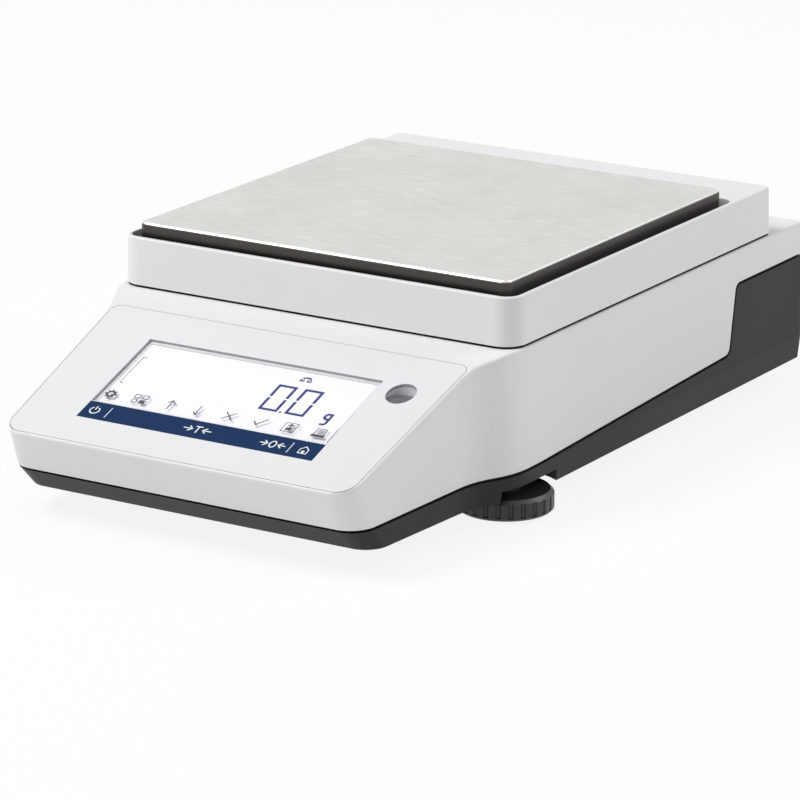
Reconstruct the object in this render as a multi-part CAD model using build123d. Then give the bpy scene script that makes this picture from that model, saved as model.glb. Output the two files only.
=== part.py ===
from build123d import *
from math import cos, pi, radians, sin, tan
import os

# Top-loading precision balance. Millimetres, +Z up, +X to the user's right, +Y to the back.
# The origin is on the bench, at the middle of the footprint.

# Overall size
overall_depth = 350.0
pan_to_back = 153.2
ground_clearance = 10.0
housing_height = 62.2
seam_gap = 1.0
cover_height = 20.3
pan_proud = 5.5

# Weighing pan, a folded tray of stainless sheet
pan_side = 180.0
pan_corner_radius = 4.0
pan_sheet = 1.0
pan_bend_radius = 1.8
pan_skirt = 11.0

# Pan surround: the upper cover with the well that the pan sits in
pan_gap_side = 4.0
pan_gap_front = 3.0
pan_gap_back = 3.5
rim_wall = 2.0
well_depth = 15.0
well_corner_radius = 6.0
cover_front_radius = 9.0
cover_deck = 28.9
lip_inset = 1.2
lip_wall = 1.6
cover_hole_radius = 20.0
cover_collar_wall = 2.5
cover_collar_height = 5.5
cover_boss_x = 70.0
cover_boss_y = 60.0
cover_boss_radius = 4.0
rim_round = 0.9

# Housing plan: straight sides, an S-curve, then a console that tapers to the nose
housing_width = 197.2
s_curve_start = -64.2
s_curve_inset = 10.3
s_curve_angle = 30.0
console_taper = 3.4
rear_corner_radius = 4.0
nose_corner_radius = 11.0
wall = 2.5
draft = 1.2

# Housing side view
nose_edge_z = 37.2
edge_round = 1.2
crease_round = 10.0
panel_angle = 20.4
panel_length = 91.0
parting_front_z = 20.5
parting_bend_z = 22.0
parting_bend_y = -55.0
parting_rear_z = 28.0
tub_rise_y = 104.8
tub_rise_lean = 6.5
tub_rise_z = 58.0
tub_rise_radius = 4.0
tub_gap = 1.3
tongue_height = 3.5
tongue_inset = 1.45
tongue_clearance = 0.15
tub_chamfer = 9.5
tub_side_draw = 1.1
tub_floor = 3.0

# Keypad overlay, window and touch strip, measured up the slope from the nose edge
overlay_thickness = 1.2
overlay_front = 1.3
overlay_border = 1.5
overlay_front_radius = 8.0
overlay_back_radius = 4.0
overlay_gap = 0.25
window_width = 113.0
window_low = 28.2
window_high = 72.4
window_step = 39.5
window_recess = 0.6
window_gap = 0.15
window_ledge = 1.5
strip_width = 113.0
strip_low = 16.8
strip_high = 27.8
strip_thickness = 0.6
strip_gap = 0.1

# Display under the console
glass_thickness = 2.8
glass_gap = 0.2
glass_margin = 1.0
frame_thickness = 5.0
frame_margin = 2.0
board_thickness = 1.6
display_board_margin = 11.0
display_boss_x = 50.0
display_boss_radius = 3.2
display_boss_margin = 7.0
display_board_width = 118.0

# Bubble level
level_x = 68.3
level_s = 66.5
level_radius = 6.1
level_hole_gap = 0.2
level_socket_wall = 2.2
level_depth = 12.0
level_flange = 1.5
level_cup_wall = 0.9
level_fluid_depth = 5.0
level_bubble_radius = 1.9

# Levelling feet at the front
foot_x = 84.5
foot_y = -59.4
wheel_radius = 19.9
wheel_thickness = 8.6
wheel_lift = 1.4
wheel_chamfer = 1.6
flute_count = 24
flute_radius = 1.1
flute_depth = 0.8
flute_low = 1.2
flute_high = 1.4
pocket_clearance = 2.6
pocket_roof_z = 15.0
spindle_radius = 4.0
spindle_length = 24.0
thread_clearance = 0.05
insert_radius = 5.6
insert_length = 15.0
foot_boss_wall = 2.4
pad_radius = 12.0
pad_gap = 0.3
pad_disc = 3.0
pad_stem_radius = 3.0
pad_stem_length = 3.5

# Fixed rubber feet at the back
rear_foot_x = 68.0
rear_foot_y = 142.0
rear_foot_radius = 10.0
rear_foot_taper = 1.0
rear_foot_stem_radius = 2.5
rear_foot_barb_radius = 3.4

# Screws
screw_radius = 1.5
screw_head_radius = 2.8
screw_head_height = 2.0
screw_clearance = 0.1
screw_boss_radius = 5.0
screw_well_radius = 3.5
screw_seat_z = 19.0
screw_split_z = 27.0
screw_length = 16.0
rear_screw_x = 84.0
rear_screw_y = 158.0
middle_screw_y = 34.0
front_screw_x = 75.0
front_screw_y = -148.0

# Weighing cell and what carries it
deck_hole_radius = 30.0
plate_width = 92.0
plate_length = 152.0
plate_thickness = 4.0
plate_boss_height = 4.0
plate_boss_radius = 5.0
plate_screw_inset = 9.0
cell_width = 30.0
cell_length = 130.0
cell_height = 25.0
cell_spacer_height = 6.0
cell_end = 34.0
cell_hole_radius = 8.0
cell_hole_pitch = 36.0
cell_slot = 5.0
cell_screw_radius = 3.0
cell_screw_head_radius = 5.0
cell_screw_head_height = 5.0
cell_screw_spacing = 18.0
carrier_spacer_height = 3.0
carrier_plate_thickness = 5.0
carrier_front_reach = 24.0
stem_radius = 9.0
stem_top_z = 80.0
cone_base_radius = 6.0
cone_tip_radius = 4.0
cone_height = 7.0
cone_clearance = 0.05
stop_gap = 0.4
stop_x = 9.0
stop_inset = 7.0
stop_radius = 2.5
stop_nut_radius = 4.5
stop_nut_height = 3.0
gauge_width = 6.0
gauge_length = 10.0
gauge_thickness = 0.25

# Weigh-below eye, and the cover that swings across its opening in the floor
hook_rod_radius = 3.0
hook_thread = 8.0
hook_eye_radius = 4.0
hook_eye_wire = 1.4
hook_eye_z = 21.0
hook_hole_radius = 10.0
hook_plate_hole = 9.0
hook_cover_radius = 12.5
hook_cover_thickness = 1.5
hook_cover_gap = 0.1
hook_pivot_x = 22.0
hook_pivot_width = 6.0
hook_pivot_radius = 2.0
hook_pivot_head_radius = 4.0
hook_pivot_head_height = 1.4
hook_pivot_slot_width = 1.0
hook_pivot_slot_depth = 0.7

# Pan support
support_hub_radius = 13.0
support_hub_height = 11.5
support_reach = 66.0
support_tab_width = 24.0
support_tab_gap = 0.5
support_arm_width = 12.0
support_plate = 3.0
support_plate_drop = 3.0
support_frame_width = 7.0
support_rib_width = 3.0
support_rib_height = 3.0
support_pad_radius = 9.0
buffer_radius = 6.0
buffer_height = 4.5
buffer_stem_radius = 2.5
buffer_stem_length = 3.0

# Main board and the sockets in the rear wall
board_length = 150.0
board_width = 42.0
board_lift = 5.0
board_wall_gap = 1.0
board_boss_radius = 4.0
bay_depth = 7.0
bay_height = 19.5
bay_width = 146.0
bay_x = -3.0
socket_set_back = 0.6
socket_gap = 0.3
power_x = -58.0
power_width = 9.0
power_height = 11.0
power_depth = 14.0
power_bore_radius = 3.1
power_bore_depth = 9.5
power_pin_radius = 1.0
serial_x = 4.0
serial_width = 30.8
serial_height = 12.5
serial_depth = 13.0
serial_shell_width = 17.0
serial_shell_height = 8.4
serial_shell_proud = 5.5
serial_face_inset = 6.2
serial_nut_spacing = 25.0
serial_nut_radius = 2.5
usb_x = 48.0
usb_width = 12.0
usb_height = 10.8
usb_depth = 16.0
usb_mouth_width = 8.5
usb_mouth_height = 7.8
usb_mouth_depth = 9.0
usb_tongue_width = 5.6
usb_tongue_height = 3.2
lock_slot_x = 78.0
lock_slot_z = 28.0
lock_slot_width = 7.0
lock_slot_height = 3.0

# Cables
ribbon_x = -53.0
ribbon_width = 10.0
ribbon_thickness = 0.8
ribbon_bend = 5.0
ribbon_plug_length = 12.0
ribbon_plug_width = 5.0
ribbon_plug_height = 4.0
board_plug_width = 6.0
board_plug_height = 6.0
board_plug_inset = 6.0
cell_cable_radius = 1.3
cell_cable_x = 8.0
cell_plug_x = 28.0
cell_plug_length = 18.0

# Levels and places that follow from the sizes above
back_y = overall_depth / 2
nose_y = -overall_depth / 2
pan_y = back_y - pan_to_back
housing_top_z = ground_clearance + housing_height
cover_low_z = housing_top_z + seam_gap
rim_z = cover_low_z + cover_height
pan_top_z = rim_z + pan_proud
well_floor_z = rim_z - well_depth
cover_half = pan_side / 2 + pan_gap_side + rim_wall
cover_front_y = pan_y - pan_side / 2 - pan_gap_front - rim_wall
cover_back_y = back_y - cover_deck
well_back_y = pan_y + pan_side / 2 + pan_gap_back
lean = radians(panel_angle)
nose_edge_y = nose_y - edge_round * (cos(lean) + sin(lean) - 1)
panel = Plane(origin=(0, nose_edge_y, nose_edge_z), x_dir=(1, 0, 0), z_dir=(0, -sin(lean), cos(lean)))
front_foot_y = nose_edge_y + (nose_edge_z - parting_front_z) * tan(lean)
floor_top_z = ground_clearance + tub_floor
window_mid = (window_low + window_high) / 2
display_depth = wall + glass_gap + glass_thickness + frame_thickness
level_y = nose_edge_y + level_s * cos(lean)
level_top_z = nose_edge_z + level_s * sin(lean) - level_radius * tan(lean)
plate_z = floor_top_z + plate_boss_height
cell_z = plate_z + plate_thickness + cell_spacer_height
cell_top_z = cell_z + cell_height
cell_front_y = pan_y - cell_length / 2
cell_back_y = pan_y + cell_length / 2
carrier_z = cell_top_z + carrier_spacer_height
bay_floor_y = back_y - bay_depth
board_y = bay_floor_y - wall - board_wall_gap - board_width / 2
board_z = floor_top_z + board_lift
board_top_z = board_z + board_thickness
bay_low_z = floor_top_z + wall
hook_y = cell_back_y - cell_end / 2
board_plug_y = board_y - board_width / 2 + board_plug_inset
board_plug_z = board_top_z + board_plug_height / 2
ribbon_plug_s = window_mid + 15.0


def tidy(shape):
    """Return one Part from whatever an operation gave."""
    solids = shape.solids()
    if len(solids) == 1:
        return Part(solids[0].wrapped)
    return Part(Compound(solids).wrapped)


def cylinder(x, y, z, radius, height):
    """Upright cylinder standing on height z."""
    return Pos(x, y, z + height / 2) * Cylinder(radius, height)


def block(x, y, z, width, length, height):
    """Upright box centred on x and y, standing on height z."""
    return Pos(x, y, z + height / 2) * Box(width, length, height)


def both_sides(x, *rest):
    """The same place on the right and on the left."""
    return [(x, *rest), (-x, *rest)]


def on_panel(x, s, depth, shape):
    """Put a shape at x, s up the console slope, with its own zero at a depth below the slope."""
    return panel * Pos(x, s, -depth) * shape


def slab(width, low, high, thickness, depth, x=0.0):
    """Flat plate in the console's slope, with its top face at the given depth."""
    plate = Box(width, high - low, thickness)
    return on_panel(x, (low + high) / 2, depth + thickness / 2, plate)


# Housing outline and envelope


def plan_outline(front_y, inset=0.0, nose_radius=0.0):
    """Plan of the housing at the crest of its walls, with the S-curves into the console."""
    half = housing_width / 2
    taper = radians(console_taper)
    turn = radians(s_curve_angle)
    radius = s_curve_inset / (1 + cos(taper) - 2 * cos(turn))
    waist_x = half - s_curve_inset
    waist_y = s_curve_start - radius * (2 * sin(turn) - sin(taper))
    front_x = waist_x - (waist_y - front_y) * tan(taper)
    with BuildSketch() as sketch:
        with BuildLine() as line:
            front = Line((0, front_y), (front_x, front_y))
            side = Line(front @ 1, (waist_x, waist_y))
            outward = JernArc(side @ 1, side % 1, radius, console_taper - s_curve_angle)
            inward = JernArc(outward @ 1, outward % 1, radius, s_curve_angle)
            flank = Line(inward @ 1, (half, back_y))
            Line(flank @ 1, (0, back_y))
            mirror(line.line, about=Plane.YZ)
        make_face()
        fillet(sketch.vertices().sort_by(Axis.Y)[-2:], rear_corner_radius)
        if nose_radius:
            fillet(sketch.vertices().sort_by(Axis.Y)[:2], nose_radius)
        if inset:
            offset(amount=-inset)
    return sketch.sketch


def side_prism(points, rounded=(), radius=0.0, grow=0.0):
    """Extrude a closed side view across the whole width, some of its corners rounded."""
    with BuildSketch(Plane.YZ) as sketch:
        with BuildLine():
            Polyline(*points, close=True)
        make_face()
        if rounded:
            fillet([sketch.vertices().sort_by_distance(place)[0] for place in rounded], radius)
        if grow:
            offset(amount=grow, kind=Kind.INTERSECTION)
    return extrude(sketch.sketch, amount=housing_width, both=True)


def upper_envelope(inset=0.0):
    """Solid form of the housing above the crest line, every face set in by inset."""
    start_z = parting_front_z
    plan = Pos(0, 0, start_z) * plan_outline(nose_y - 20, inset)
    body = extrude(plan, amount=housing_top_z - start_z, dir=(0, 0, 1), taper=draft)
    ridge_y = nose_edge_y + panel_length * cos(lean)
    ridge_z = nose_edge_z + panel_length * sin(lean)
    low_z = start_z - 10
    points = [
        (back_y + 10, housing_top_z),
        (cover_front_y - 1, housing_top_z),
        (ridge_y, ridge_z),
        (nose_edge_y, nose_edge_z),
        (nose_edge_y + (nose_edge_z - low_z) * tan(lean), low_z),
        (back_y + 10, low_z),
    ]
    body = body & side_prism(points, grow=-inset)
    corners = [
        edge
        for edge in body.edges()
        if edge.center().Y < nose_y + 20 and abs(edge.tangent_at(0.5).Z) > 0.8
    ]
    return fillet(corners, nose_corner_radius - inset)


def lower_envelope(inset=0.0, floor=0.0):
    """Solid form of the tub below the crest line: drawn in at the sides, chamfered in front."""
    top = plan_outline(front_foot_y, inset, nose_corner_radius)
    bottom = plan_outline(front_foot_y + tub_chamfer, inset + tub_side_draw, nose_corner_radius)
    sections = [
        Pos(0, 0, ground_clearance + floor) * bottom.face(),
        Pos(0, 0, parting_front_z) * top.face(),
    ]
    return loft(sections, ruled=True)


def tub_region(grow=0.0):
    """Everything below the parting line, which climbs to the back and steps up at the rear."""
    rise = [(tub_rise_y, parting_rear_z), (tub_rise_y + tub_rise_lean, tub_rise_z)]
    points = [
        (nose_y - 10, parting_front_z),
        (parting_bend_y, parting_bend_z),
        *rise,
        (back_y + 10, tub_rise_z),
        (back_y + 10, -10),
        (nose_y - 10, -10),
    ]
    return side_prism(points, rise, tub_rise_radius, grow)


def rounded_envelope():
    """Outer form of the upper housing with its creases softened and its top edges rounded."""
    body = upper_envelope()
    creases = [
        edge
        for edge in body.edges()
        if abs(edge.tangent_at(0.5).X) > 0.99 and edge.center().Z > nose_edge_z + 5 and edge.center().Y < 0
    ]
    body = fillet(creases, crease_round)
    edges = [
        edge
        for edge in body.edges()
        if edge.center().Z > parting_front_z + 5
        and abs(edge.tangent_at(0.5).Z) < 0.5
        and not (abs(edge.tangent_at(0.5).X) > 0.99 and nose_y + 10 < edge.center().Y < 0)
    ]
    return fillet(edges, edge_round)


upper_outer = rounded_envelope()
upper_inner = upper_envelope(wall)
lower_outer = lower_envelope()
lower_inner = lower_envelope(wall, tub_floor)


def screw_places():
    """Where the six housing screws stand, as x, y."""
    places = both_sides(rear_screw_x, rear_screw_y)
    places += both_sides(rear_screw_x, middle_screw_y)
    places += both_sides(front_screw_x, front_screw_y)
    return places


def cover_screw_places():
    """Where the four pan surround screws stand, as x, y."""
    places = both_sides(cover_boss_x, pan_y - cover_boss_y)
    places += both_sides(cover_boss_x, pan_y + cover_boss_y)
    return places


def display_screw_places():
    """Where the display board is screwed up to the console, as x, s."""
    low = window_low - display_boss_margin
    high = window_high + display_boss_margin
    return both_sides(display_boss_x, low) + both_sides(display_boss_x, high)


def main_housing():
    """White upper shell: flat deck, sloping console, open underneath."""
    shell = upper_outer - upper_inner
    rebate = upper_envelope(tongue_inset - tongue_clearance) & tub_region(tongue_height + 0.5)
    shell = shell - tub_region() - rebate
    for x, y in screw_places():
        boss = cylinder(x, y, screw_split_z, screw_boss_radius, housing_height)
        shell += boss & upper_inner
        shell -= cylinder(x, y, screw_split_z, screw_radius + thread_clearance, screw_length)
    boss_height = display_depth - wall / 2
    for x, s in display_screw_places():
        boss = Cylinder(display_boss_radius, boss_height)
        shell += on_panel(x, s, display_depth - boss_height / 2, boss)
        pilot = Cylinder(screw_radius + thread_clearance, display_depth - wall)
        shell -= on_panel(x, s, (display_depth + wall) / 2 + 0.5, pilot)
    socket_radius = level_radius + level_hole_gap + level_socket_wall
    socket_z = level_top_z - level_depth + level_flange
    socket = cylinder(level_x, level_y, socket_z, socket_radius, level_depth * 2)
    shell += socket & upper_inner
    shell -= cylinder(level_x, level_y, socket_z - 1, level_radius + level_hole_gap, level_depth * 3)
    shell -= overlay_blank(overlay_gap, overlay_thickness)
    opening_width = window_width - 2 * window_ledge
    shell -= slab(opening_width, window_low + window_ledge, window_high - window_ledge, wall * 2, 0)
    shell -= cylinder(0, pan_y, carrier_z, deck_hole_radius, housing_height)
    for x, y in cover_screw_places():
        shell -= cylinder(x, y, housing_top_z - wall * 2, screw_radius + screw_clearance, wall * 3)
    return tidy(shell)


def overlay_blank(grow, thickness):
    """Outline of the keypad overlay in the slope, following the tapered console."""
    taper = radians(console_taper)
    turn = radians(s_curve_angle)
    radius = s_curve_inset / (1 + cos(taper) - 2 * cos(turn))
    waist_y = s_curve_start - radius * (2 * sin(turn) - sin(taper))
    waist_x = housing_width / 2 - s_curve_inset

    def half_at(s):
        y = nose_edge_y + s * cos(lean)
        rise = nose_edge_z + s * sin(lean) - parting_front_z
        edge_x = waist_x - (waist_y - y) * tan(taper) - rise * tan(radians(draft))
        return edge_x - overlay_border + grow

    low = overlay_front - grow
    high = panel_length + grow - overlay_gap
    with BuildSketch() as sketch:
        with BuildLine():
            Polyline(
                (-half_at(low), low),
                (half_at(low), low),
                (half_at(high), high),
                (-half_at(high), high),
                close=True,
            )
        make_face()
        fillet(sketch.vertices().sort_by(Axis.Y)[:2], overlay_front_radius + grow)
        fillet(sketch.vertices().sort_by(Axis.Y)[-2:], overlay_back_radius + grow)
    return panel * extrude(sketch.sketch, amount=-thickness)


def keypad_overlay():
    """White front plate, with the window opening, the touch strip's pocket and the level's hole."""
    plate = overlay_blank(0, overlay_thickness)
    plate -= slab(window_width, window_low, window_high, overlay_thickness * 4, -overlay_thickness)
    plate -= slab(strip_width, strip_low, strip_high, strip_thickness * 2, -strip_thickness)
    hole_z = level_top_z - level_depth
    plate -= cylinder(level_x, level_y, hole_z, level_radius + level_hole_gap, level_depth * 3)
    return tidy(plate)


def display_window():
    """Clear window: sunk over the display, flush over the row of touch symbols."""
    width = window_width - 2 * window_gap
    low = window_low + window_gap
    high = window_high - window_gap
    lens = slab(width, low, high, overlay_thickness - window_recess, window_recess)
    step = slab(width, low, window_step, window_recess, 0)
    return tidy(lens + step)


def touch_strip():
    """Blue strip of touch keys in its pocket."""
    width = strip_width - 2 * strip_gap
    return slab(width, strip_low + strip_gap, strip_high - strip_gap, strip_thickness, 0)


def display_glass():
    """Liquid crystal cell just under the console wall."""
    width = window_width + 2 * glass_margin
    low = window_low - glass_margin
    return slab(width, low, window_high + glass_margin, glass_thickness, wall + glass_gap)


def display_frame():
    """Backlight tray that holds the glass, with a low wall around it."""
    margin = glass_margin + frame_margin
    depth = wall + glass_gap
    width = window_width + 2 * margin
    low = window_low - margin
    high = window_high + margin
    tray = slab(width, low, high, glass_thickness + frame_thickness, depth)
    inner = slab(
        window_width + 2 * glass_margin + glass_gap,
        window_low - glass_margin - glass_gap / 2,
        window_high + glass_margin + glass_gap / 2,
        glass_thickness,
        depth,
    )
    return tidy(tray - inner)


def display_board():
    """Printed board behind the display, with its processor and two connectors."""
    low = window_low - display_board_margin
    high = window_high + display_board_margin
    board = slab(display_board_width, low, high, board_thickness, display_depth)
    for x, s in display_screw_places():
        hole = Cylinder(screw_radius + screw_clearance, board_thickness * 3)
        board -= on_panel(x, s, display_depth, hole)
    under = display_depth + board_thickness
    board += slab(12, window_mid - 6, window_mid + 6, 1.6, under)
    plug_low = ribbon_plug_s - ribbon_plug_width / 2
    plug_high = ribbon_plug_s + ribbon_plug_width / 2
    board += slab(ribbon_plug_length, plug_low, plug_high, ribbon_plug_height, under, x=ribbon_x)
    board += slab(14, window_mid - 16, window_mid - 11, 3.0, under, x=32)
    return tidy(board)


def screw(head_radius, head_height, radius, length):
    """Pan head screw pointing up, with its head's seat at zero and a cross recess."""
    head = Pos(0, 0, -head_height / 2) * Cylinder(head_radius, head_height)
    shank = Pos(0, 0, length / 2) * Cylinder(radius, length)
    recess = Pos(0, 0, -head_height) * Box(head_radius * 1.1, head_radius * 0.3, head_height)
    return head + shank - recess - Rot(0, 0, 90) * recess


def small_screw(length):
    """The screw used all over the housing."""
    return screw(screw_head_radius, screw_head_height, screw_radius, length)


def display_screws():
    """Four screws that hold the display board up to the console's bosses."""
    under = display_depth + board_thickness
    length = board_thickness + 5
    return Compound([on_panel(x, s, under, small_screw(length)) for x, s in display_screw_places()])


def level_cup():
    """Clear round vial that stands upright in the console's socket, with a flange below."""
    low_z = level_top_z - level_depth
    cup = cylinder(level_x, level_y, low_z, level_radius, level_depth)
    flange_radius = level_radius + level_hole_gap + level_socket_wall
    cup += cylinder(level_x, level_y, low_z, flange_radius, level_flange)
    cavity_z = level_top_z - level_cup_wall - level_fluid_depth
    cup -= cylinder(level_x, level_y, cavity_z, level_radius - level_cup_wall, level_fluid_depth)
    return tidy(cup)


def level_fluid():
    """Tinted liquid in the vial, with the bubble's hollow at its top."""
    gap = 0.05
    low_z = level_top_z - level_cup_wall - level_fluid_depth + gap
    radius = level_radius - level_cup_wall - gap
    fluid = cylinder(level_x, level_y, low_z, radius, level_fluid_depth - 2 * gap)
    top_z = low_z + level_fluid_depth - 2 * gap
    bubble = Pos(level_x, level_y, top_z) * Sphere(level_bubble_radius)
    return tidy(fluid - bubble)


def base_tub():
    """Charcoal base: floor, drawn-in walls, tall rear, foot pockets, screw towers and a tongue."""
    below = tub_region(-tub_gap)
    outer = lower_outer + upper_outer
    body = (outer & below) - lower_inner - upper_inner
    tongue = lower_envelope(tongue_inset) - lower_inner
    tongue += upper_envelope(tongue_inset) - upper_inner
    tongue = tongue & tub_region(tongue_height)
    body += tongue
    for x, y in both_sides(foot_x, foot_y):
        body = add_foot_pocket(body, x, y)
    for x, y in screw_places():
        tower = cylinder(x, y, floor_top_z, screw_boss_radius, screw_split_z - floor_top_z)
        body += tower
        body -= cylinder(x, y, 0, screw_well_radius, screw_seat_z)
        body -= cylinder(x, y, 0, screw_radius + screw_clearance, screw_split_z + 1)
    for x, y in plate_screw_places():
        body += cylinder(x, y, floor_top_z, plate_boss_radius, plate_boss_height)
        body -= cylinder(x, y, floor_top_z, screw_radius + thread_clearance, plate_boss_height)
    for x, y in board_screw_places():
        body += cylinder(x, y, floor_top_z, board_boss_radius, board_lift)
        body -= cylinder(x, y, floor_top_z, screw_radius + thread_clearance, board_lift)
    for x, y in both_sides(rear_foot_x, rear_foot_y):
        body -= cylinder(x, y, 0, rear_foot_stem_radius, floor_top_z + 1)
    body -= cylinder(0, hook_y, 0, hook_hole_radius, floor_top_z + 1)
    body += cylinder(hook_pivot_x, hook_y, floor_top_z, board_boss_radius, board_lift)
    body -= cylinder(hook_pivot_x, hook_y, 0, screw_radius + thread_clearance, floor_top_z + board_lift - 1)
    bay_y = bay_floor_y - wall + (bay_depth + wall) / 2
    bay = block(bay_x, bay_y, floor_top_z, bay_width + 2 * wall, bay_depth + wall, bay_height + 2 * wall)
    body += bay & outer
    body -= block(bay_x, bay_floor_y + bay_depth, bay_low_z, bay_width, 2 * bay_depth, bay_height)
    body -= socket_openings()
    return tidy(body)


def add_foot_pocket(body, x, y):
    """Round pocket over a foot wheel, open at the side, with the boss for the threaded insert."""
    pocket_radius = wheel_radius + pocket_clearance
    height = pocket_roof_z + tub_floor - ground_clearance
    body += cylinder(x, y, ground_clearance, pocket_radius + wall, height) & lower_outer
    body -= cylinder(x, y, 0, pocket_radius, pocket_roof_z)
    boss_radius = insert_radius + foot_boss_wall
    boss_z = pocket_roof_z + tub_floor / 2
    body += cylinder(x, y, boss_z, boss_radius, pocket_roof_z + insert_length - boss_z)
    body -= cylinder(x, y, pocket_roof_z - 1, insert_radius, insert_length + 2)
    return body


def foot_insert(x, y):
    """Brass threaded insert in the tub's boss."""
    insert = cylinder(x, y, pocket_roof_z, insert_radius, insert_length)
    return tidy(insert - cylinder(x, y, pocket_roof_z - 1, spindle_radius + thread_clearance, insert_length + 2))


def foot_wheel(x, y):
    """Fluted wheel with its threaded spindle, and a socket below for the pad's stem."""
    wheel = Cylinder(wheel_radius, wheel_thickness)
    top = wheel.edges().sort_by(Axis.Z)[-1]
    wheel = chamfer(top, wheel_chamfer)
    bottom = wheel.edges().sort_by(Axis.Z)[0]
    wheel = Pos(x, y, wheel_lift + wheel_thickness / 2) * chamfer(bottom, wheel_chamfer / 2)
    flute_z = wheel_lift + flute_low
    flute_height = wheel_thickness - flute_low - flute_high
    reach = wheel_radius + flute_radius - flute_depth
    flutes = [
        cylinder(
            x + reach * cos(2 * pi * (turn + 0.5) / flute_count),
            y + reach * sin(2 * pi * (turn + 0.5) / flute_count),
            flute_z,
            flute_radius,
            flute_height,
        )
        for turn in range(flute_count)
    ]
    wheel -= flutes
    wheel += cylinder(x, y, wheel_lift + wheel_thickness, spindle_radius, spindle_length)
    wheel += cylinder(x, y, wheel_lift + wheel_thickness, spindle_radius + 2.5, 0.6)
    wheel -= cylinder(x, y, 0, pad_radius + pad_gap, pad_disc + pad_gap)
    stem_top = pad_disc + pad_stem_length + pad_gap
    wheel -= cylinder(x, y, 0, pad_stem_radius + thread_clearance, stem_top)
    return tidy(wheel)


def foot_pad(x, y):
    """Rubber pad under a wheel; its stem turns in the wheel's socket."""
    pad = cylinder(x, y, 0, pad_radius, pad_disc)
    pad = fillet(pad.edges().sort_by(Axis.Z)[0], 0.8)
    return tidy(pad + cylinder(x, y, pad_disc, pad_stem_radius, pad_stem_length))


def rear_foot(x, y):
    """Fixed rubber foot with a stem pushed up through the tub's floor."""
    cone = Pos(x, y, ground_clearance / 2) * Cone(
        rear_foot_radius - rear_foot_taper, rear_foot_radius, ground_clearance
    )
    foot = fillet(cone.edges().sort_by(Axis.Z)[0], 0.8)
    foot += cylinder(x, y, ground_clearance, rear_foot_stem_radius, tub_floor)
    barb = Pos(x, y, floor_top_z + 1.5) * Cone(rear_foot_barb_radius, rear_foot_stem_radius, 3.0)
    return tidy(foot + barb)


# Weighing cell


def plate_screw_places():
    """Where the cell plate is screwed to the tub, as x, y."""
    x = plate_width / 2 - plate_screw_inset
    reach = plate_length / 2 - plate_screw_inset
    return both_sides(x, pan_y - reach) + both_sides(x, pan_y + reach)


def cell_plate():
    """Stiff metal plate under the weighing cell, with lightening holes and turned-up edges."""
    plate = block(0, pan_y, plate_z, plate_width, plate_length, plate_thickness)
    plate = fillet(plate.edges().filter_by(Axis.Z), 6)
    for x in (-plate_width / 2 + 3, plate_width / 2 - 3):
        flange_length = plate_length - 4 * plate_screw_inset
        plate += block(x, pan_y, plate_z + plate_thickness, 3, flange_length, 5)
    for x, y in plate_screw_places():
        plate -= cylinder(x, y, plate_z - 1, screw_radius + screw_clearance, plate_thickness + 2)
    for x, y in both_sides(plate_width / 4 + 6, pan_y):
        plate -= cylinder(x, y, plate_z - 1, 9, plate_thickness + 2)
    plate -= cylinder(0, hook_y, plate_z - 1, hook_plate_hole, plate_thickness + 2)
    pivot_room = board_boss_radius + 1
    plate -= cylinder(hook_pivot_x, hook_y, plate_z - 1, pivot_room, plate_thickness + 2)
    for x, y in cell_screw_places():
        plate -= cylinder(x, y, plate_z - 1, cell_screw_radius + screw_clearance, plate_thickness + 2)
    for x, y in stop_places():
        plate -= cylinder(x, y, plate_z - 1, stop_radius + thread_clearance, plate_thickness + 2)
    return tidy(plate)


def cell_screw_places():
    """The two screws that hold the cell's fixed end, as x, y."""
    middle = cell_front_y + cell_end / 2
    return [(0, middle - cell_screw_spacing / 2), (0, middle + cell_screw_spacing / 2)]


def carrier_screw_places():
    """The two screws that hold the carrier on the cell's live end, as x, y."""
    middle = cell_back_y - cell_end / 2
    return [(0, middle - cell_screw_spacing / 2), (0, middle + cell_screw_spacing / 2)]


def stop_places():
    """The two overload stops under the cell's live end, as x, y."""
    return both_sides(stop_x, cell_back_y - stop_inset)


def cell_spacer():
    """Spacer between the plate and the cell's fixed end."""
    spacer = block(
        0, cell_front_y + cell_end / 2, plate_z + plate_thickness, cell_width, cell_end, cell_spacer_height
    )
    for x, y in cell_screw_places():
        spacer -= cylinder(x, y, plate_z, cell_screw_radius + screw_clearance, cell_spacer_height * 2)
    return tidy(spacer)


def load_cell():
    """Aluminium bending beam: two thin necks above and below a pair of joined holes."""
    beam = block(0, pan_y, cell_z, cell_width, cell_length, cell_height)
    middle_z = cell_z + cell_height / 2
    for side in (-1, 1):
        hole = Pos(0, pan_y + side * cell_hole_pitch / 2, middle_z) * Rot(0, 90, 0)
        beam -= hole * Cylinder(cell_hole_radius + cell_height / 8, cell_width + 2)
    beam -= Pos(0, pan_y, middle_z) * Box(cell_width + 2, cell_hole_pitch, cell_slot)
    for x, y in cell_screw_places():
        beam -= cylinder(x, y, cell_z - 1, cell_screw_radius + thread_clearance, 12)
    for x, y in carrier_screw_places():
        beam -= cylinder(x, y, cell_top_z - 11, cell_screw_radius + thread_clearance, 12)
    beam -= cylinder(0, hook_y, cell_z - 1, hook_rod_radius + thread_clearance, hook_thread + 1.5)
    return tidy(beam)


def strain_gauges():
    """Four foil gauges bonded over and under the beam's thin necks."""
    gauges = []
    for side in (-1, 1):
        y = pan_y + side * cell_hole_pitch / 2
        for z in (cell_top_z, cell_z - gauge_thickness):
            gauges.append(tidy(block(0, y, z, gauge_width, gauge_length, gauge_thickness)))
    return Compound(gauges)


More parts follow.
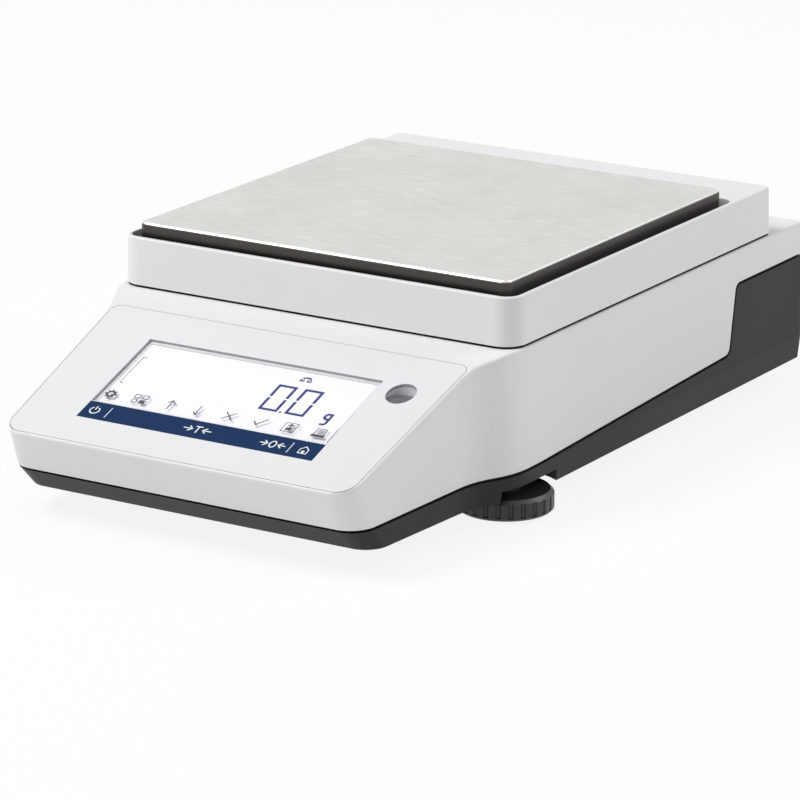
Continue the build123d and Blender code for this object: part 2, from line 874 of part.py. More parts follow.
def hook_eye():
    """Eye for weighing below the bench, screwed up into the cell's live end."""
    low_z = hook_eye_z + hook_eye_radius
    rod = cylinder(0, hook_y, low_z, hook_rod_radius, cell_z + hook_thread - low_z)
    eye = Pos(0, hook_y, hook_eye_z) * Rot(90, 0, 0) * Torus(hook_eye_radius, hook_eye_wire)
    return tidy(rod + eye)


def hook_cover():
    """Cover plate that swings away from the weigh-below opening."""
    low_z = ground_clearance - hook_cover_gap - hook_cover_thickness
    with BuildSketch() as sketch:
        Circle(hook_cover_radius)
        with Locations((hook_pivot_x, 0)):
            Circle(hook_pivot_width)
        with Locations((hook_pivot_x / 2, 0)):
            Rectangle(hook_pivot_x, 2 * hook_pivot_width)
        with Locations((hook_pivot_x, 0)):
            Circle(hook_pivot_radius + thread_clearance, mode=Mode.SUBTRACT)
    plate = Pos(0, hook_y, low_z) * extrude(sketch.sketch, amount=hook_cover_thickness)
    grip = block(-hook_cover_radius + 3.5, hook_y, low_z - 1.2, 2, 9, 1.2)
    return tidy(plate + grip)


def hook_pivot():
    """Shoulder screw that the cover turns on."""
    low_z = ground_clearance - 2 * hook_cover_gap - hook_cover_thickness
    head_z = low_z - hook_pivot_head_height
    head = cylinder(hook_pivot_x, hook_y, head_z, hook_pivot_head_radius, hook_pivot_head_height)
    shoulder = cylinder(hook_pivot_x, hook_y, low_z, hook_pivot_radius, ground_clearance - low_z)
    thread = cylinder(hook_pivot_x, hook_y, ground_clearance, screw_radius, tub_floor + board_lift - 2)
    slot_length = 3 * hook_pivot_head_radius
    slot = block(hook_pivot_x, hook_y, head_z, slot_length, hook_pivot_slot_width, hook_pivot_slot_depth)
    return tidy(head + shoulder + thread - slot)


def socket_screw(length):
    """Cap screw pointing down, with its head's seat at zero and a hexagon socket."""
    head = Pos(0, 0, cell_screw_head_height / 2) * Cylinder(cell_screw_head_radius, cell_screw_head_height)
    shank = Pos(0, 0, -length / 2) * Cylinder(cell_screw_radius, length)
    hexagon = extrude(RegularPolygon(cell_screw_head_radius / 2, 6), amount=cell_screw_head_height)
    return head + shank - Pos(0, 0, cell_screw_head_height / 2) * hexagon


def cell_screws():
    """Two cap screws from below, through plate and spacer, into the fixed end."""
    grip = plate_thickness + cell_spacer_height
    return Compound(
        [
            Pos(x, y, plate_z) * Rot(180, 0, 0) * tidy(cell_screw_below(grip + 10))
            for x, y in cell_screw_places()
        ]
    )


def cell_screw_below(length):
    """Cap screw with a low head that fits between the plate and the tub's floor."""
    head_height = plate_boss_height - 1
    head = Pos(0, 0, head_height / 2) * Cylinder(cell_screw_head_radius, head_height)
    shank = Pos(0, 0, -length / 2) * Cylinder(cell_screw_radius, length)
    hexagon = extrude(RegularPolygon(cell_screw_head_radius / 2, 6), amount=head_height)
    return head + shank - Pos(0, 0, head_height / 2) * hexagon


def cell_carrier():
    """Bracket on the live end that brings the load back over the cell's middle, with its cone."""
    foot = block(0, cell_back_y - cell_end / 2, cell_top_z, cell_width, cell_end, carrier_spacer_height)
    front = pan_y - carrier_front_reach
    arm_length = cell_back_y - front
    arm = block(0, front + arm_length / 2, carrier_z, cell_width, arm_length, carrier_plate_thickness)
    arm = fillet(arm.edges().filter_by(Axis.Z), 5)
    plate_top = carrier_z + carrier_plate_thickness
    stem = cylinder(0, pan_y, plate_top, stem_radius, stem_top_z - plate_top)
    cone = Pos(0, pan_y, stem_top_z + cone_height / 2) * Cone(cone_base_radius, cone_tip_radius, cone_height)
    gusset_height = 8
    for side in (-1, 1):
        rib_y = pan_y + side * (stem_radius + 4)
        stem += block(0, rib_y, plate_top, 4, 10, gusset_height)
    carrier = foot + arm + stem + cone
    for x, y in carrier_screw_places():
        carrier -= cylinder(x, y, cell_top_z - 1, cell_screw_radius + screw_clearance, 20)
    return tidy(carrier)


def carrier_screws():
    """Two cap screws down through the carrier into the live end."""
    grip = carrier_spacer_height + carrier_plate_thickness
    seat = carrier_z + carrier_plate_thickness
    return Compound([Pos(x, y, seat) * tidy(socket_screw(grip + 9)) for x, y in carrier_screw_places()])


def overload_stops():
    """Two set screws with lock nuts, a hair below the live end, that take an overload."""
    low_z = plate_z - 1.5
    nut = extrude(RegularPolygon(stop_nut_radius, 6), amount=stop_nut_height)
    return Compound(
        [
            tidy(
                cylinder(x, y, low_z, stop_radius, cell_z - stop_gap - low_z)
                + Pos(x, y, plate_z + plate_thickness) * nut
            )
            for x, y in stop_places()
        ]
    )


def plate_screws():
    """Four screws that hold the cell plate down on the tub."""
    seat = plate_z + plate_thickness
    length = plate_thickness + plate_boss_height - 0.5
    return Compound([Pos(x, y, seat) * Rot(180, 0, 0) * small_screw(length) for x, y in plate_screw_places()])


# Pan surround, pan support and pan


def cover_outline(front_y, back_edge_y, half, front_radius, back_radius):
    """Plan of the pan surround: larger corner rounds in front than behind."""
    middle = (front_y + back_edge_y) / 2
    with BuildSketch() as sketch:
        with Locations((0, middle)):
            Rectangle(2 * half, back_edge_y - front_y)
        fillet(sketch.vertices().sort_by(Axis.Y)[:2], front_radius)
        fillet(sketch.vertices().sort_by(Axis.Y)[-2:], back_radius)
    return sketch.sketch


def cover_body(inset, low_z, high_z):
    """Drafted block of the pan surround's outline between two heights, set in all round."""
    spread = (rim_z - high_z) * tan(radians(draft)) - inset
    plan = cover_outline(
        cover_front_y - spread,
        cover_back_y + spread,
        cover_half + spread,
        cover_front_radius,
        rear_corner_radius,
    )
    return extrude(Pos(0, 0, high_z) * plan, amount=high_z - low_z, dir=(0, 0, -1), taper=-draft)


def top_cover():
    """White pan surround: rim, well, rear deck, central hole with its raised collar."""
    body = cover_body(0, cover_low_z, rim_z)
    top = [edge for edge in body.edges() if edge.center().Z > rim_z - 0.01]
    body = fillet(top, rim_round)
    well_front_y = cover_front_y + rim_wall
    well_half = cover_half - rim_wall
    well = cover_outline(well_front_y, well_back_y, well_half, well_corner_radius, well_corner_radius)
    body -= extrude(Pos(0, 0, well_floor_z) * well, amount=well_depth + 5)
    under_z = well_floor_z - wall
    body -= cover_body(rim_wall, cover_low_z - 1, under_z)
    pocket_front = well_back_y + rim_wall
    pocket_back = cover_back_y - wall
    pocket_width = 2 * (cover_half - wall)
    pocket_y = (pocket_front + pocket_back) / 2
    pocket_height = rim_z - wall - cover_low_z + 1
    body -= block(0, pocket_y, cover_low_z - 1, pocket_width, pocket_back - pocket_front, pocket_height)
    lip = cover_body(lip_inset, housing_top_z, well_floor_z)
    lip -= cover_body(lip_inset + lip_wall, housing_top_z - 1, well_floor_z + 1)
    body += lip & block(0, pan_y, housing_top_z, 4 * cover_half, 4 * cover_half, under_z - housing_top_z)
    collar_radius = cover_hole_radius + cover_collar_wall
    body += cylinder(0, pan_y, under_z, collar_radius, wall + cover_collar_height)
    body -= cylinder(0, pan_y, under_z - 1, cover_hole_radius, wall + cover_collar_height + 2)
    for x, y in cover_screw_places():
        body += cylinder(x, y, housing_top_z, cover_boss_radius, under_z - housing_top_z)
        body -= cylinder(x, y, housing_top_z - 1, screw_radius + thread_clearance, 1 + under_z - housing_top_z)
    return tidy(body)


def cover_screws():
    """Four screws up through the housing's deck into the pan surround."""
    seat = housing_top_z - wall
    length = well_floor_z - wall - seat - 0.3
    return Compound([Pos(x, y, seat) * small_screw(length) for x, y in cover_screw_places()])


def pan_support():
    """Cast cross that drops on the carrier's cone: hub, four arms, a frame and four buffer seats."""
    plate_z_low = stem_top_z + support_hub_height - support_plate_drop
    hub = cylinder(0, pan_y, stem_top_z, support_hub_radius, support_hub_height)
    body = hub
    side = 2 * support_reach
    outer = block(0, pan_y, plate_z_low, side + support_frame_width, side + support_frame_width, support_plate)
    inner = block(0, pan_y, plate_z_low - 1, side - support_frame_width, side - support_frame_width, 10)
    body += outer - inner
    tab_reach = pan_side / 2 - pan_sheet - support_tab_gap
    tab_length = tab_reach - support_reach
    for turn in range(4):
        tab = Pos(0, pan_y, plate_z_low + support_plate / 2) * Rot(0, 0, 90 * turn)
        tab *= Pos(support_reach + tab_length / 2, 0, 0)
        body += tab * Box(tab_length, support_tab_width, support_plate)
    reach = support_reach * 2 ** 0.5
    for angle in (45, 135):
        arm = Pos(0, pan_y, plate_z_low + support_plate / 2) * Rot(0, 0, angle)
        body += arm * Box(2 * reach, support_arm_width, support_plate)
        rib_z = plate_z_low + support_plate + support_rib_height / 2
        rib = Pos(0, pan_y, rib_z) * Rot(0, 0, angle)
        rib_length = 2 * (reach - support_pad_radius)
        body += rib * Box(rib_length, support_rib_width, support_rib_height)
    seat_z = pan_top_z - pan_sheet - buffer_height
    for x, y in buffer_places():
        body += cylinder(x, y, plate_z_low, support_pad_radius, seat_z - plate_z_low)
        stem = buffer_stem_radius + thread_clearance
        body -= cylinder(x, y, seat_z - buffer_stem_length - 0.2, stem, buffer_stem_length + 1)
    socket = Cone(cone_base_radius + cone_clearance, cone_tip_radius + cone_clearance, cone_height)
    body -= Pos(0, pan_y, stem_top_z + cone_height / 2) * socket
    body -= cylinder(0, pan_y, stem_top_z + cone_height - 0.01, cone_tip_radius + cone_clearance, 1)
    return tidy(body)


def buffer_places():
    """Where the pan rests on its four rubber buffers, as x, y."""
    return both_sides(support_reach, pan_y - support_reach) + both_sides(support_reach, pan_y + support_reach)


def pan_buffers():
    """Four rubber buttons in the pan support's seats."""
    seat_z = pan_top_z - pan_sheet - buffer_height
    buffers = []
    for x, y in buffer_places():
        button = cylinder(x, y, seat_z, buffer_radius, buffer_height)
        button = fillet(button.edges().sort_by(Axis.Z)[-1], 1.0)
        stem = cylinder(x, y, seat_z - buffer_stem_length, buffer_stem_radius, buffer_stem_length)
        buffers.append(tidy(button + stem))
    return Compound(buffers)


def weighing_pan():
    """Folded stainless tray, open underneath, with a hem turned in at the foot of its skirt."""
    low_z = pan_top_z - pan_skirt
    sheet = RectangleRounded(pan_side, pan_side, pan_corner_radius)
    body = Pos(0, pan_y, low_z) * extrude(sheet, amount=pan_skirt)
    top = [edge for edge in body.edges() if edge.center().Z > pan_top_z - 0.01]
    body = fillet(top, pan_bend_radius)
    inner_side = pan_side - 2 * pan_sheet
    inner = RectangleRounded(inner_side, inner_side, pan_corner_radius - pan_sheet)
    hollow = Pos(0, pan_y, low_z - 1) * extrude(inner, amount=pan_skirt + 1 - pan_sheet)
    roof = [edge for edge in hollow.edges() if edge.center().Z > pan_top_z - pan_sheet - 0.01]
    hollow = fillet(roof, pan_bend_radius - pan_sheet)
    return tidy(body - hollow)


# Main board and rear sockets


def board_screw_places():
    """Where the main board is screwed to the tub, as x, y."""
    x = board_length / 2 - 5
    y = board_y - board_width / 2 + 5
    return both_sides(x, y) + both_sides(x, y + board_width - 12)


def main_board():
    """Printed board at the back, with its chips, a coil and the cell's connector."""
    board = block(0, board_y, board_z, board_length, board_width, board_thickness)
    for x, y in board_screw_places():
        board -= cylinder(x, y, board_z - 1, screw_radius + screw_clearance, board_thickness + 2)
    board += block(0, board_y - 10, board_top_z, 14, 14, 1.6)
    board += block(-24, board_y - 12, board_top_z, 10, 7, 2.4)
    board += cylinder(-38, board_y - 6, board_top_z, 5, 9)
    plug_z = board_top_z
    board += block(cell_plug_x, board_plug_y, plug_z, cell_plug_length, board_plug_width, board_plug_height)
    board += block(ribbon_x, board_plug_y, plug_z, ribbon_plug_length, board_plug_width, board_plug_height)
    board += block(52, board_y - 10, board_top_z, 8, 8, 3)
    return tidy(board)


def display_cable():
    """Flat cable from the display board down to the floor and back to the main board."""
    under = display_depth + board_thickness + ribbon_plug_height
    start = (on_panel(ribbon_x, ribbon_plug_s, under, Location())).position
    floor_z = floor_top_z + 2.0
    bend_y = start.Y + (start.Z - floor_z) * tan(lean)
    end_y = board_plug_y - board_plug_width / 2
    points = [
        start,
        (ribbon_x, bend_y, floor_z),
        (ribbon_x, end_y - 18, floor_z),
        (ribbon_x, end_y - 9, board_plug_z),
        (ribbon_x, end_y, board_plug_z),
    ]
    path = FilletPolyline(*points, radius=ribbon_bend)
    section = Plane(origin=path @ 0, x_dir=(1, 0, 0), z_dir=path % 0) * Rectangle(ribbon_width, ribbon_thickness)
    return tidy(sweep(section, path=path))


def cell_cable():
    """Round cable from the weighing cell to its plug on the main board."""
    start = (cell_cable_x, cell_back_y, cell_z + 9)
    end = (cell_plug_x, board_plug_y - board_plug_width / 2, board_plug_z)
    path = Spline(start, end, tangents=[(0, 1, 0), (0, 1, 0)])
    return tidy(sweep(Plane(origin=path @ 0, z_dir=path % 0) * Circle(cell_cable_radius), path=path))


def board_screws():
    """Four screws that hold the main board."""
    length = board_thickness + board_lift - 0.5
    return Compound(
        [Pos(x, y, board_top_z) * Rot(180, 0, 0) * small_screw(length) for x, y in board_screw_places()]
    )


def socket_face_y():
    """The rear sockets end a little inside the floor of their bay."""
    return bay_floor_y - socket_set_back


def socket_openings():
    """Cut-outs in the rear wall for the three sockets and the lock slot."""
    length = wall + 2
    y = bay_floor_y - wall / 2
    gap = 2 * socket_gap
    cuts = block(power_x, y, board_top_z - socket_gap, power_width + gap, length, power_height + gap)
    face_height = serial_height - serial_face_inset / 2
    face_z = board_top_z + serial_face_inset / 4 - socket_gap
    cuts += block(serial_x, y, face_z, serial_width + gap, length, face_height + gap)
    cuts += block(usb_x, y, board_top_z - socket_gap, usb_width + gap, length, usb_height + gap)
    cuts += block(lock_slot_x, back_y, lock_slot_z, lock_slot_width, 3 * wall, lock_slot_height)
    return cuts


def power_socket():
    """Round low-voltage inlet with its centre pin."""
    y = socket_face_y() - power_depth / 2
    body = block(power_x, y, board_top_z, power_width, power_depth, power_height)
    axis_z = board_top_z + power_height / 2 + 0.5
    bore = Pos(power_x, socket_face_y() - power_bore_depth / 2, axis_z) * Rot(90, 0, 0)
    body -= bore * Cylinder(power_bore_radius, power_bore_depth)
    pin_length = power_bore_depth - 1
    pin = Pos(power_x, socket_face_y() - power_bore_depth + pin_length / 2, axis_z) * Rot(90, 0, 0)
    return tidy(body + pin * Cylinder(power_pin_radius, pin_length))


def serial_socket():
    """Nine-way serial socket: tapered shell, two jack nuts and five and four contact holes."""
    face_height = serial_height - serial_face_inset / 2
    face_z = board_top_z + serial_face_inset / 4
    flange_y = socket_face_y() - 1
    body = block(serial_x, flange_y, face_z, serial_width, 2, face_height)
    rear = block(
        serial_x, flange_y - 1 - serial_depth / 2, board_top_z, serial_width - 8, serial_depth, serial_height
    )
    body += rear
    middle_z = face_z + face_height / 2
    with BuildSketch(Plane.XZ.offset(-socket_face_y())) as shell:
        with Locations((serial_x, middle_z)):
            Trapezoid(serial_shell_width, serial_shell_height, 80)
        fillet(shell.vertices(), 1.8)
    mouth = extrude(shell.sketch, amount=-serial_shell_proud)
    body += mouth
    for side in (-1, 1):
        nut = Pos(serial_x + side * serial_nut_spacing / 2, socket_face_y() + 2, middle_z) * Rot(90, 0, 0)
        body += nut * extrude(RegularPolygon(serial_nut_radius, 6), amount=2, both=True)
    for row, count in ((1, 5), (-1, 4)):
        for index in range(count):
            x = serial_x + (index - (count - 1) / 2) * 2.77
            hole = Pos(x, socket_face_y() + serial_shell_proud, middle_z + row * 1.42) * Rot(90, 0, 0)
            body -= hole * Cylinder(0.6, 5)
    return tidy(body)


def usb_socket():
    """Square data socket with its tongue."""
    y = socket_face_y() - usb_depth / 2
    body = block(usb_x, y, board_top_z, usb_width, usb_depth, usb_height)
    middle_z = board_top_z + usb_height / 2
    mouth_y = socket_face_y() - usb_mouth_depth / 2
    mouth = Pos(usb_x, mouth_y, middle_z) * Box(usb_mouth_width, usb_mouth_depth, usb_mouth_height)
    top = mouth.edges().filter_by(Axis.Y).sort_by(Axis.Z)[-2:]
    body -= chamfer(top, 1.5)
    tongue = Box(usb_tongue_width, usb_mouth_depth, usb_tongue_height)
    body += Pos(usb_x, mouth_y - 0.5, middle_z) * tongue
    return tidy(body)


def housing_screws():
    """Six screws up through the tub's towers into the housing's bosses."""
    return Compound([Pos(x, y, screw_seat_z) * small_screw(screw_length) for x, y in screw_places()])


def build_nodes():
    """Every sub-part by the name of its node."""
    nodes = {
        "weighing_pan": weighing_pan(),
        "pan_support": pan_support(),
        "pan_buffers": pan_buffers(),
        "top_cover": top_cover(),
        "cover_screws": cover_screws(),
        "main_housing": main_housing(),
        "base_tub": base_tub(),
        "housing_screws": housing_screws(),
        "keypad_overlay": keypad_overlay(),
        "touch_strip": touch_strip(),
        "display_window": display_window(),
        "display_glass": display_glass(),
        "display_frame": display_frame(),
        "display_board": display_board(),
        "display_screws": display_screws(),
        "level_cup": level_cup(),
        "level_fluid": level_fluid(),
        "cell_plate": cell_plate(),
        "plate_screws": plate_screws(),
        "cell_spacer": cell_spacer(),
        "load_cell": load_cell(),
        "cell_screws": cell_screws(),
        "strain_gauges": strain_gauges(),
        "hook_eye": hook_eye(),
        "hook_cover": hook_cover(),
        "hook_pivot": hook_pivot(),
        "cell_carrier": cell_carrier(),
        "carrier_screws": carrier_screws(),
        "overload_stops": overload_stops(),
        "main_board": main_board(),
        "board_screws": board_screws(),
        "display_cable": display_cable(),
        "cell_cable": cell_cable(),
        "power_socket": power_socket(),
        "serial_socket": serial_socket(),
        "usb_socket": usb_socket(),
    }
    for side, x in (("right", foot_x), ("left", -foot_x)):
        nodes[side + "_foot_wheel"] = foot_wheel(x, foot_y)
        nodes[side + "_foot_pad"] = foot_pad(x, foot_y)
        nodes[side + "_foot_insert"] = foot_insert(x, foot_y)
    for side, x in (("right", rear_foot_x), ("left", -rear_foot_x)):
        nodes[side + "_rear_foot"] = rear_foot(x, rear_foot_y)
    return nodes


os.makedirs("parts", exist_ok=True)
for name, shape in build_nodes().items():
    export_step(shape, os.path.join("parts", name + ".step"))
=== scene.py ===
from math import cos, hypot, pi, radians, sin

import bmesh
import bpy
from bpy.props import FloatProperty, FloatVectorProperty, PointerProperty
from mathutils import Matrix, Vector


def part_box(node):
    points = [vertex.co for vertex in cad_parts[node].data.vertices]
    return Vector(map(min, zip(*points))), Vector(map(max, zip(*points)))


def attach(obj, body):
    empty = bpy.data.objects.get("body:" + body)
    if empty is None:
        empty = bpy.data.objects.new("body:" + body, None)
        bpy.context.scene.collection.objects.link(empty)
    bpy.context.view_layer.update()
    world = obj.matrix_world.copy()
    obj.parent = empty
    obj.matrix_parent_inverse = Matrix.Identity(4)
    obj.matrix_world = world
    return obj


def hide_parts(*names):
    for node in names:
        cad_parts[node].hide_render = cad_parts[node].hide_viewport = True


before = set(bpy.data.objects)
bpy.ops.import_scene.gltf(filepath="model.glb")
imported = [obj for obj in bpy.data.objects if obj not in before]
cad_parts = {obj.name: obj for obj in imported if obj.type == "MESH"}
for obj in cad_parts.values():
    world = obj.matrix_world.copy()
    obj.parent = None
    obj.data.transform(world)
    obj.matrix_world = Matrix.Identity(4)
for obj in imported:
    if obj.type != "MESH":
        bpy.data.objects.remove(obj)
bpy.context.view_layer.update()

bl_info = {
    "name": "Top-loading balance",
    "version": (1, 0, 0),
    "blender": (4, 5, 0),
    "location": "3D View > Sidebar > Balance",
    "description": "Finishes, display, key symbols and studio for a top-loading balance",
    "category": "Object",
}

MM = 0.001

# The console slope's directions, and its origin found from the keypad overlay's upper back edge
SLOPE = radians(20.4)
OVERLAY_THICKNESS = 1.2 * MM
OVERLAY_BACK = 90.75 * MM
ACROSS = Vector((1, 0, 0))
UPHILL = Vector((0, cos(SLOPE), sin(SLOPE)))
OUTWARD = Vector((0, -sin(SLOPE), cos(SLOPE)))
OVERLAY_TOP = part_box("keypad_overlay")[1]
BACK_EDGE = Vector((0, OVERLAY_TOP.y - OVERLAY_THICKNESS * sin(SLOPE), OVERLAY_TOP.z))
CONSOLE = BACK_EDGE - UPHILL * OVERLAY_BACK

# Depth of the display's face under the slope's surface, and thickness of a printed sign
GLASS_DEPTH = 1.3 * MM
PRINT_HEIGHT = 0.03 * MM

# The display's cell: half its width, its ends up the slope, and its thickness with the light guide
CELL_HALF = 54.8 * MM
CELL_LOW = 29.9 * MM
CELL_HIGH = 70.7 * MM
CELL_THICKNESS = 3.9 * MM

# The reading: the digits' left sides and foot, then across and up the slope its point, unit and mark
DIGITS = (14.2 * MM, 26.8 * MM)
DIGIT_FOOT = 43.2 * MM
POINT = (24.9 * MM, 43.5 * MM)
UNIT = (44.8 * MM, 40.4 * MM)
SCALE_MARK = (23.7 * MM, 66.1 * MM)

# The touch symbols' place up the slope, and the thin line that ends their row: across, and its two ends
SYMBOL_ROW = 34.0 * MM
END_LINE = 56.0 * MM
END_LINE_ENDS = (29.3 * MM, 38.1 * MM)

# The dividers on the key strip: across, and their two ends up the slope
DIVIDERS = (-44.2 * MM, 43.2 * MM)
DIVIDER_ENDS = (18.9 * MM, 25.6 * MM)

# Lighter and heavier lines, as shares of a sign's own line
THIN = 0.6
LIGHT = 0.8
HEAVY = 1.9

# The least share by which a line's corner is divided, so that sharp corners don't grow long tips
MITRE_LIMIT = 0.35

# Corner rounds at the foot of the pan surround, and the dark foam ring that stands in from its wall as
# painted shade in the seam
FRONT_ROUND = 9.4 * MM
REAR_ROUND = 4.4 * MM
ROUND_STEPS = 8
SEAL_INSET = 0.35 * MM
SEAL_WIDTH = 0.75 * MM
SEAL_HEIGHT = 0.9 * MM

# Cosines between which a face counts less and less as a side: of the front plate, whose sides get painted
# shade, and of the pan, whose skirt gets a painted dark reflection
PLATE_SHADE_SIDES = (0.8, 0.95)
PAN_REFLECTION_SIDES = (0.35, 0.7)

# Lamps of the studio, in metres: where they hang, how wide they are, and where they point
KEY_PLACE = (-1.05, -1.05, 2.25)
KEY_WIDTH = 1.3
FILL_PLACE = (1.5, 1.2, 1.4)
FILL_WIDTH = 1.2
LAMP_AIM = Vector((0, 0, 0.05))

# Floor of the studio, in metres, and the share of plain white in how it is seen
FLOOR_HALF = 4.0
BACKDROP_BEND = 0.8
BACKDROP_TOP = 3.0
BEND_STEPS = 12
FLOOR_GLOW = 0.88

# The camera's sensor in millimetres, and how far it sees in metres
SENSOR_WIDTH = 36
CAMERA_REACH = 50


def linear(code):
    """Linear RGBA of an sRGB hex colour."""
    parts = [int(code[i:i + 2], 16) / 255 for i in (1, 3, 5)]
    rgb = [p / 12.92 if p <= 0.04045 else ((p + 0.055) / 1.055) ** 2.4 for p in parts]
    return (*rgb, 1.0)


def colour(label, description, code):
    """A colour that the user may change, given as sRGB hex."""
    return FloatVectorProperty(
        name=label, description=description, subtype="COLOR", size=4, min=0, max=1, default=linear(code)
    )


def length(label, description, metres):
    """A length that the user may change."""
    return FloatProperty(
        name=label, description=description, default=metres, min=0, unit="LENGTH", precision=5
    )


def shift(label, description, metres):
    """A move to either side that the user may change."""
    return FloatProperty(name=label, description=description, default=metres, unit="LENGTH", precision=5)


def angle(label, description, degrees):
    """An angle that the user may change."""
    return FloatProperty(name=label, description=description, default=radians(degrees), subtype="ANGLE")


def power(label, description, watts):
    """A lamp's power that the user may change."""
    return FloatProperty(name=label, description=description, default=watts, min=0, unit="POWER")


class BalanceFinish(bpy.types.PropertyGroup):
    """Colours of the balance's surfaces."""

    housing: colour("Housing", "White moulded ABS of the housing and pan surround", "#edecee")
    console: colour("Console plate", "Printed front plate on the slope", "#ebebee")
    # The plate's cut edge is painted a darker grey, as the shade along the window's recess.
    console_edge_shade: colour("Console plate's edge", "Cut edge of the front plate", "#a5a7ab")
    base: colour("Base", "Charcoal moulded ABS of the base", "#1f2024")
    wheel: colour("Levelling wheels", "Charcoal moulded nylon", "#222326")
    key_strip: colour("Key strip", "Dark blue touch key film", "#0f2e58")
    display: colour("Display", "Lit face of the display", "#f4f4fb")
    segments: colour("Segments", "Dark segments of the display", "#10107c")
    symbols: colour("Touch symbols", "Grey printed touch symbols", "#54565b")
    key_symbols: colour("Key symbols", "White printed symbols on the key strip", "#f2f4f7")
    pan: colour("Pan", "Satin stainless steel of the pan", "#dadad6")
    # The pan skirt's dark colour is a painted reflection of the shaded well around the pan; forming leaves
    # the steel no darker.
    pan_skirt_reflection: colour("Pan skirt", "Folded skirt of the pan, darker from forming", "#4e4b48")
    # The sealing ring's near-black colour is painted shade for the seam under the pan surround.
    seal_shade: colour("Seal", "Foam seal under the pan surround", "#1f2022")
    casting: colour("Castings", "Blasted die-cast aluminium", "#a7a9aa")
    milled: colour("Milled metal", "Milled aluminium of the cell and its plate", "#c4c6c7")
    rubber: colour("Rubber", "Moulded rubber of feet and buffers", "#1d1d1e")
    # The spirit's grey is painted shade of the deep socket it sits in; the spirit itself is clear.
    vial: colour("Level", "Spirit of the bubble level, grey in its socket", "#74777b")


class BalanceMarks(bpy.types.PropertyGroup):
    """Sizes of the display's reading and of the printed symbols."""

    digit_width: length("Digit width", "Width of a large digit", 9.1 * MM)
    digit_height: length("Digit height", "Height of a large digit", 17.3 * MM)
    digit_stroke: length("Digit stroke", "Width of a digit's segments", 1.35 * MM)
    symbol_stroke: length("Symbol stroke", "Line width of the touch symbols", 0.5 * MM)
    key_stroke: length("Key symbol stroke", "Line width of the symbols on the strip", 0.6 * MM)


class BalanceStage(bpy.types.PropertyGroup):
    """Camera and light of the studio."""

    azimuth: angle("Azimuth", "Camera's turn to the right of the front", 32.24)
    elevation: angle("Elevation", "Camera's height angle", 16.77)
    distance: length("Distance", "From the camera to the pan", 1.90899)
    aside: shift("Aside", "Camera's move to its right", -0.01461)
    upward: shift("Upward", "Camera's move along its own upward", -0.08283)
    focal: FloatProperty(
        name="Focal length in frame widths",
        description="Focal length over the frame's width",
        default=5.62961,
    )
    ambient: FloatProperty(name="Ambient", description="Level of the even studio light", default=0.25, min=0)
    key: power("Key light", "Power of the lamp in front on the left", 51.0)
    fill: power("Fill light", "Power of the lamp behind on the right", 15.0)
    floor: colour("Floor", "Pale studio floor", "#fbfbfb")


def add(tree, kind, inputs=None, **settings):
    """Add a node with its settings; an input takes a value or another node's output."""
    node = tree.nodes.new(kind)
    for name, value in settings.items():
        setattr(node, name, value)
    for name, value in (inputs or {}).items():
        if isinstance(value, bpy.types.NodeSocket):
            tree.links.new(value, node.inputs[name])
        else:
            node.inputs[name].default_value = value
    return node


def empty_material(name):
    """A material with no nodes yet, and its tree."""
    material = bpy.data.materials.new(name)
    material.use_nodes = True
    material.node_tree.nodes.clear()
    return material, material.node_tree


def toned(value, share):
    """A colour made lighter or darker by a share, kept opaque."""
    return (*[min(1.0, part * share) for part in value[:3]], 1.0)


def turned_away(tree, axis, low, high):
    """1 where a surface turns away from an axis, 0 where it faces it; low and high are cosines."""
    normal = add(tree, "ShaderNodeNewGeometry").outputs["Normal"]
    facing = add(tree, "ShaderNodeVectorMath", {0: normal, 1: axis}, operation="DOT_PRODUCT")
    away = add(
        tree,
        "ShaderNodeMapRange",
        {"Value": facing.outputs["Value"], "From Min": low, "From Max": high, "To Min": 1.0, "To Max": 0.0},
    )
    return away.outputs["Result"]


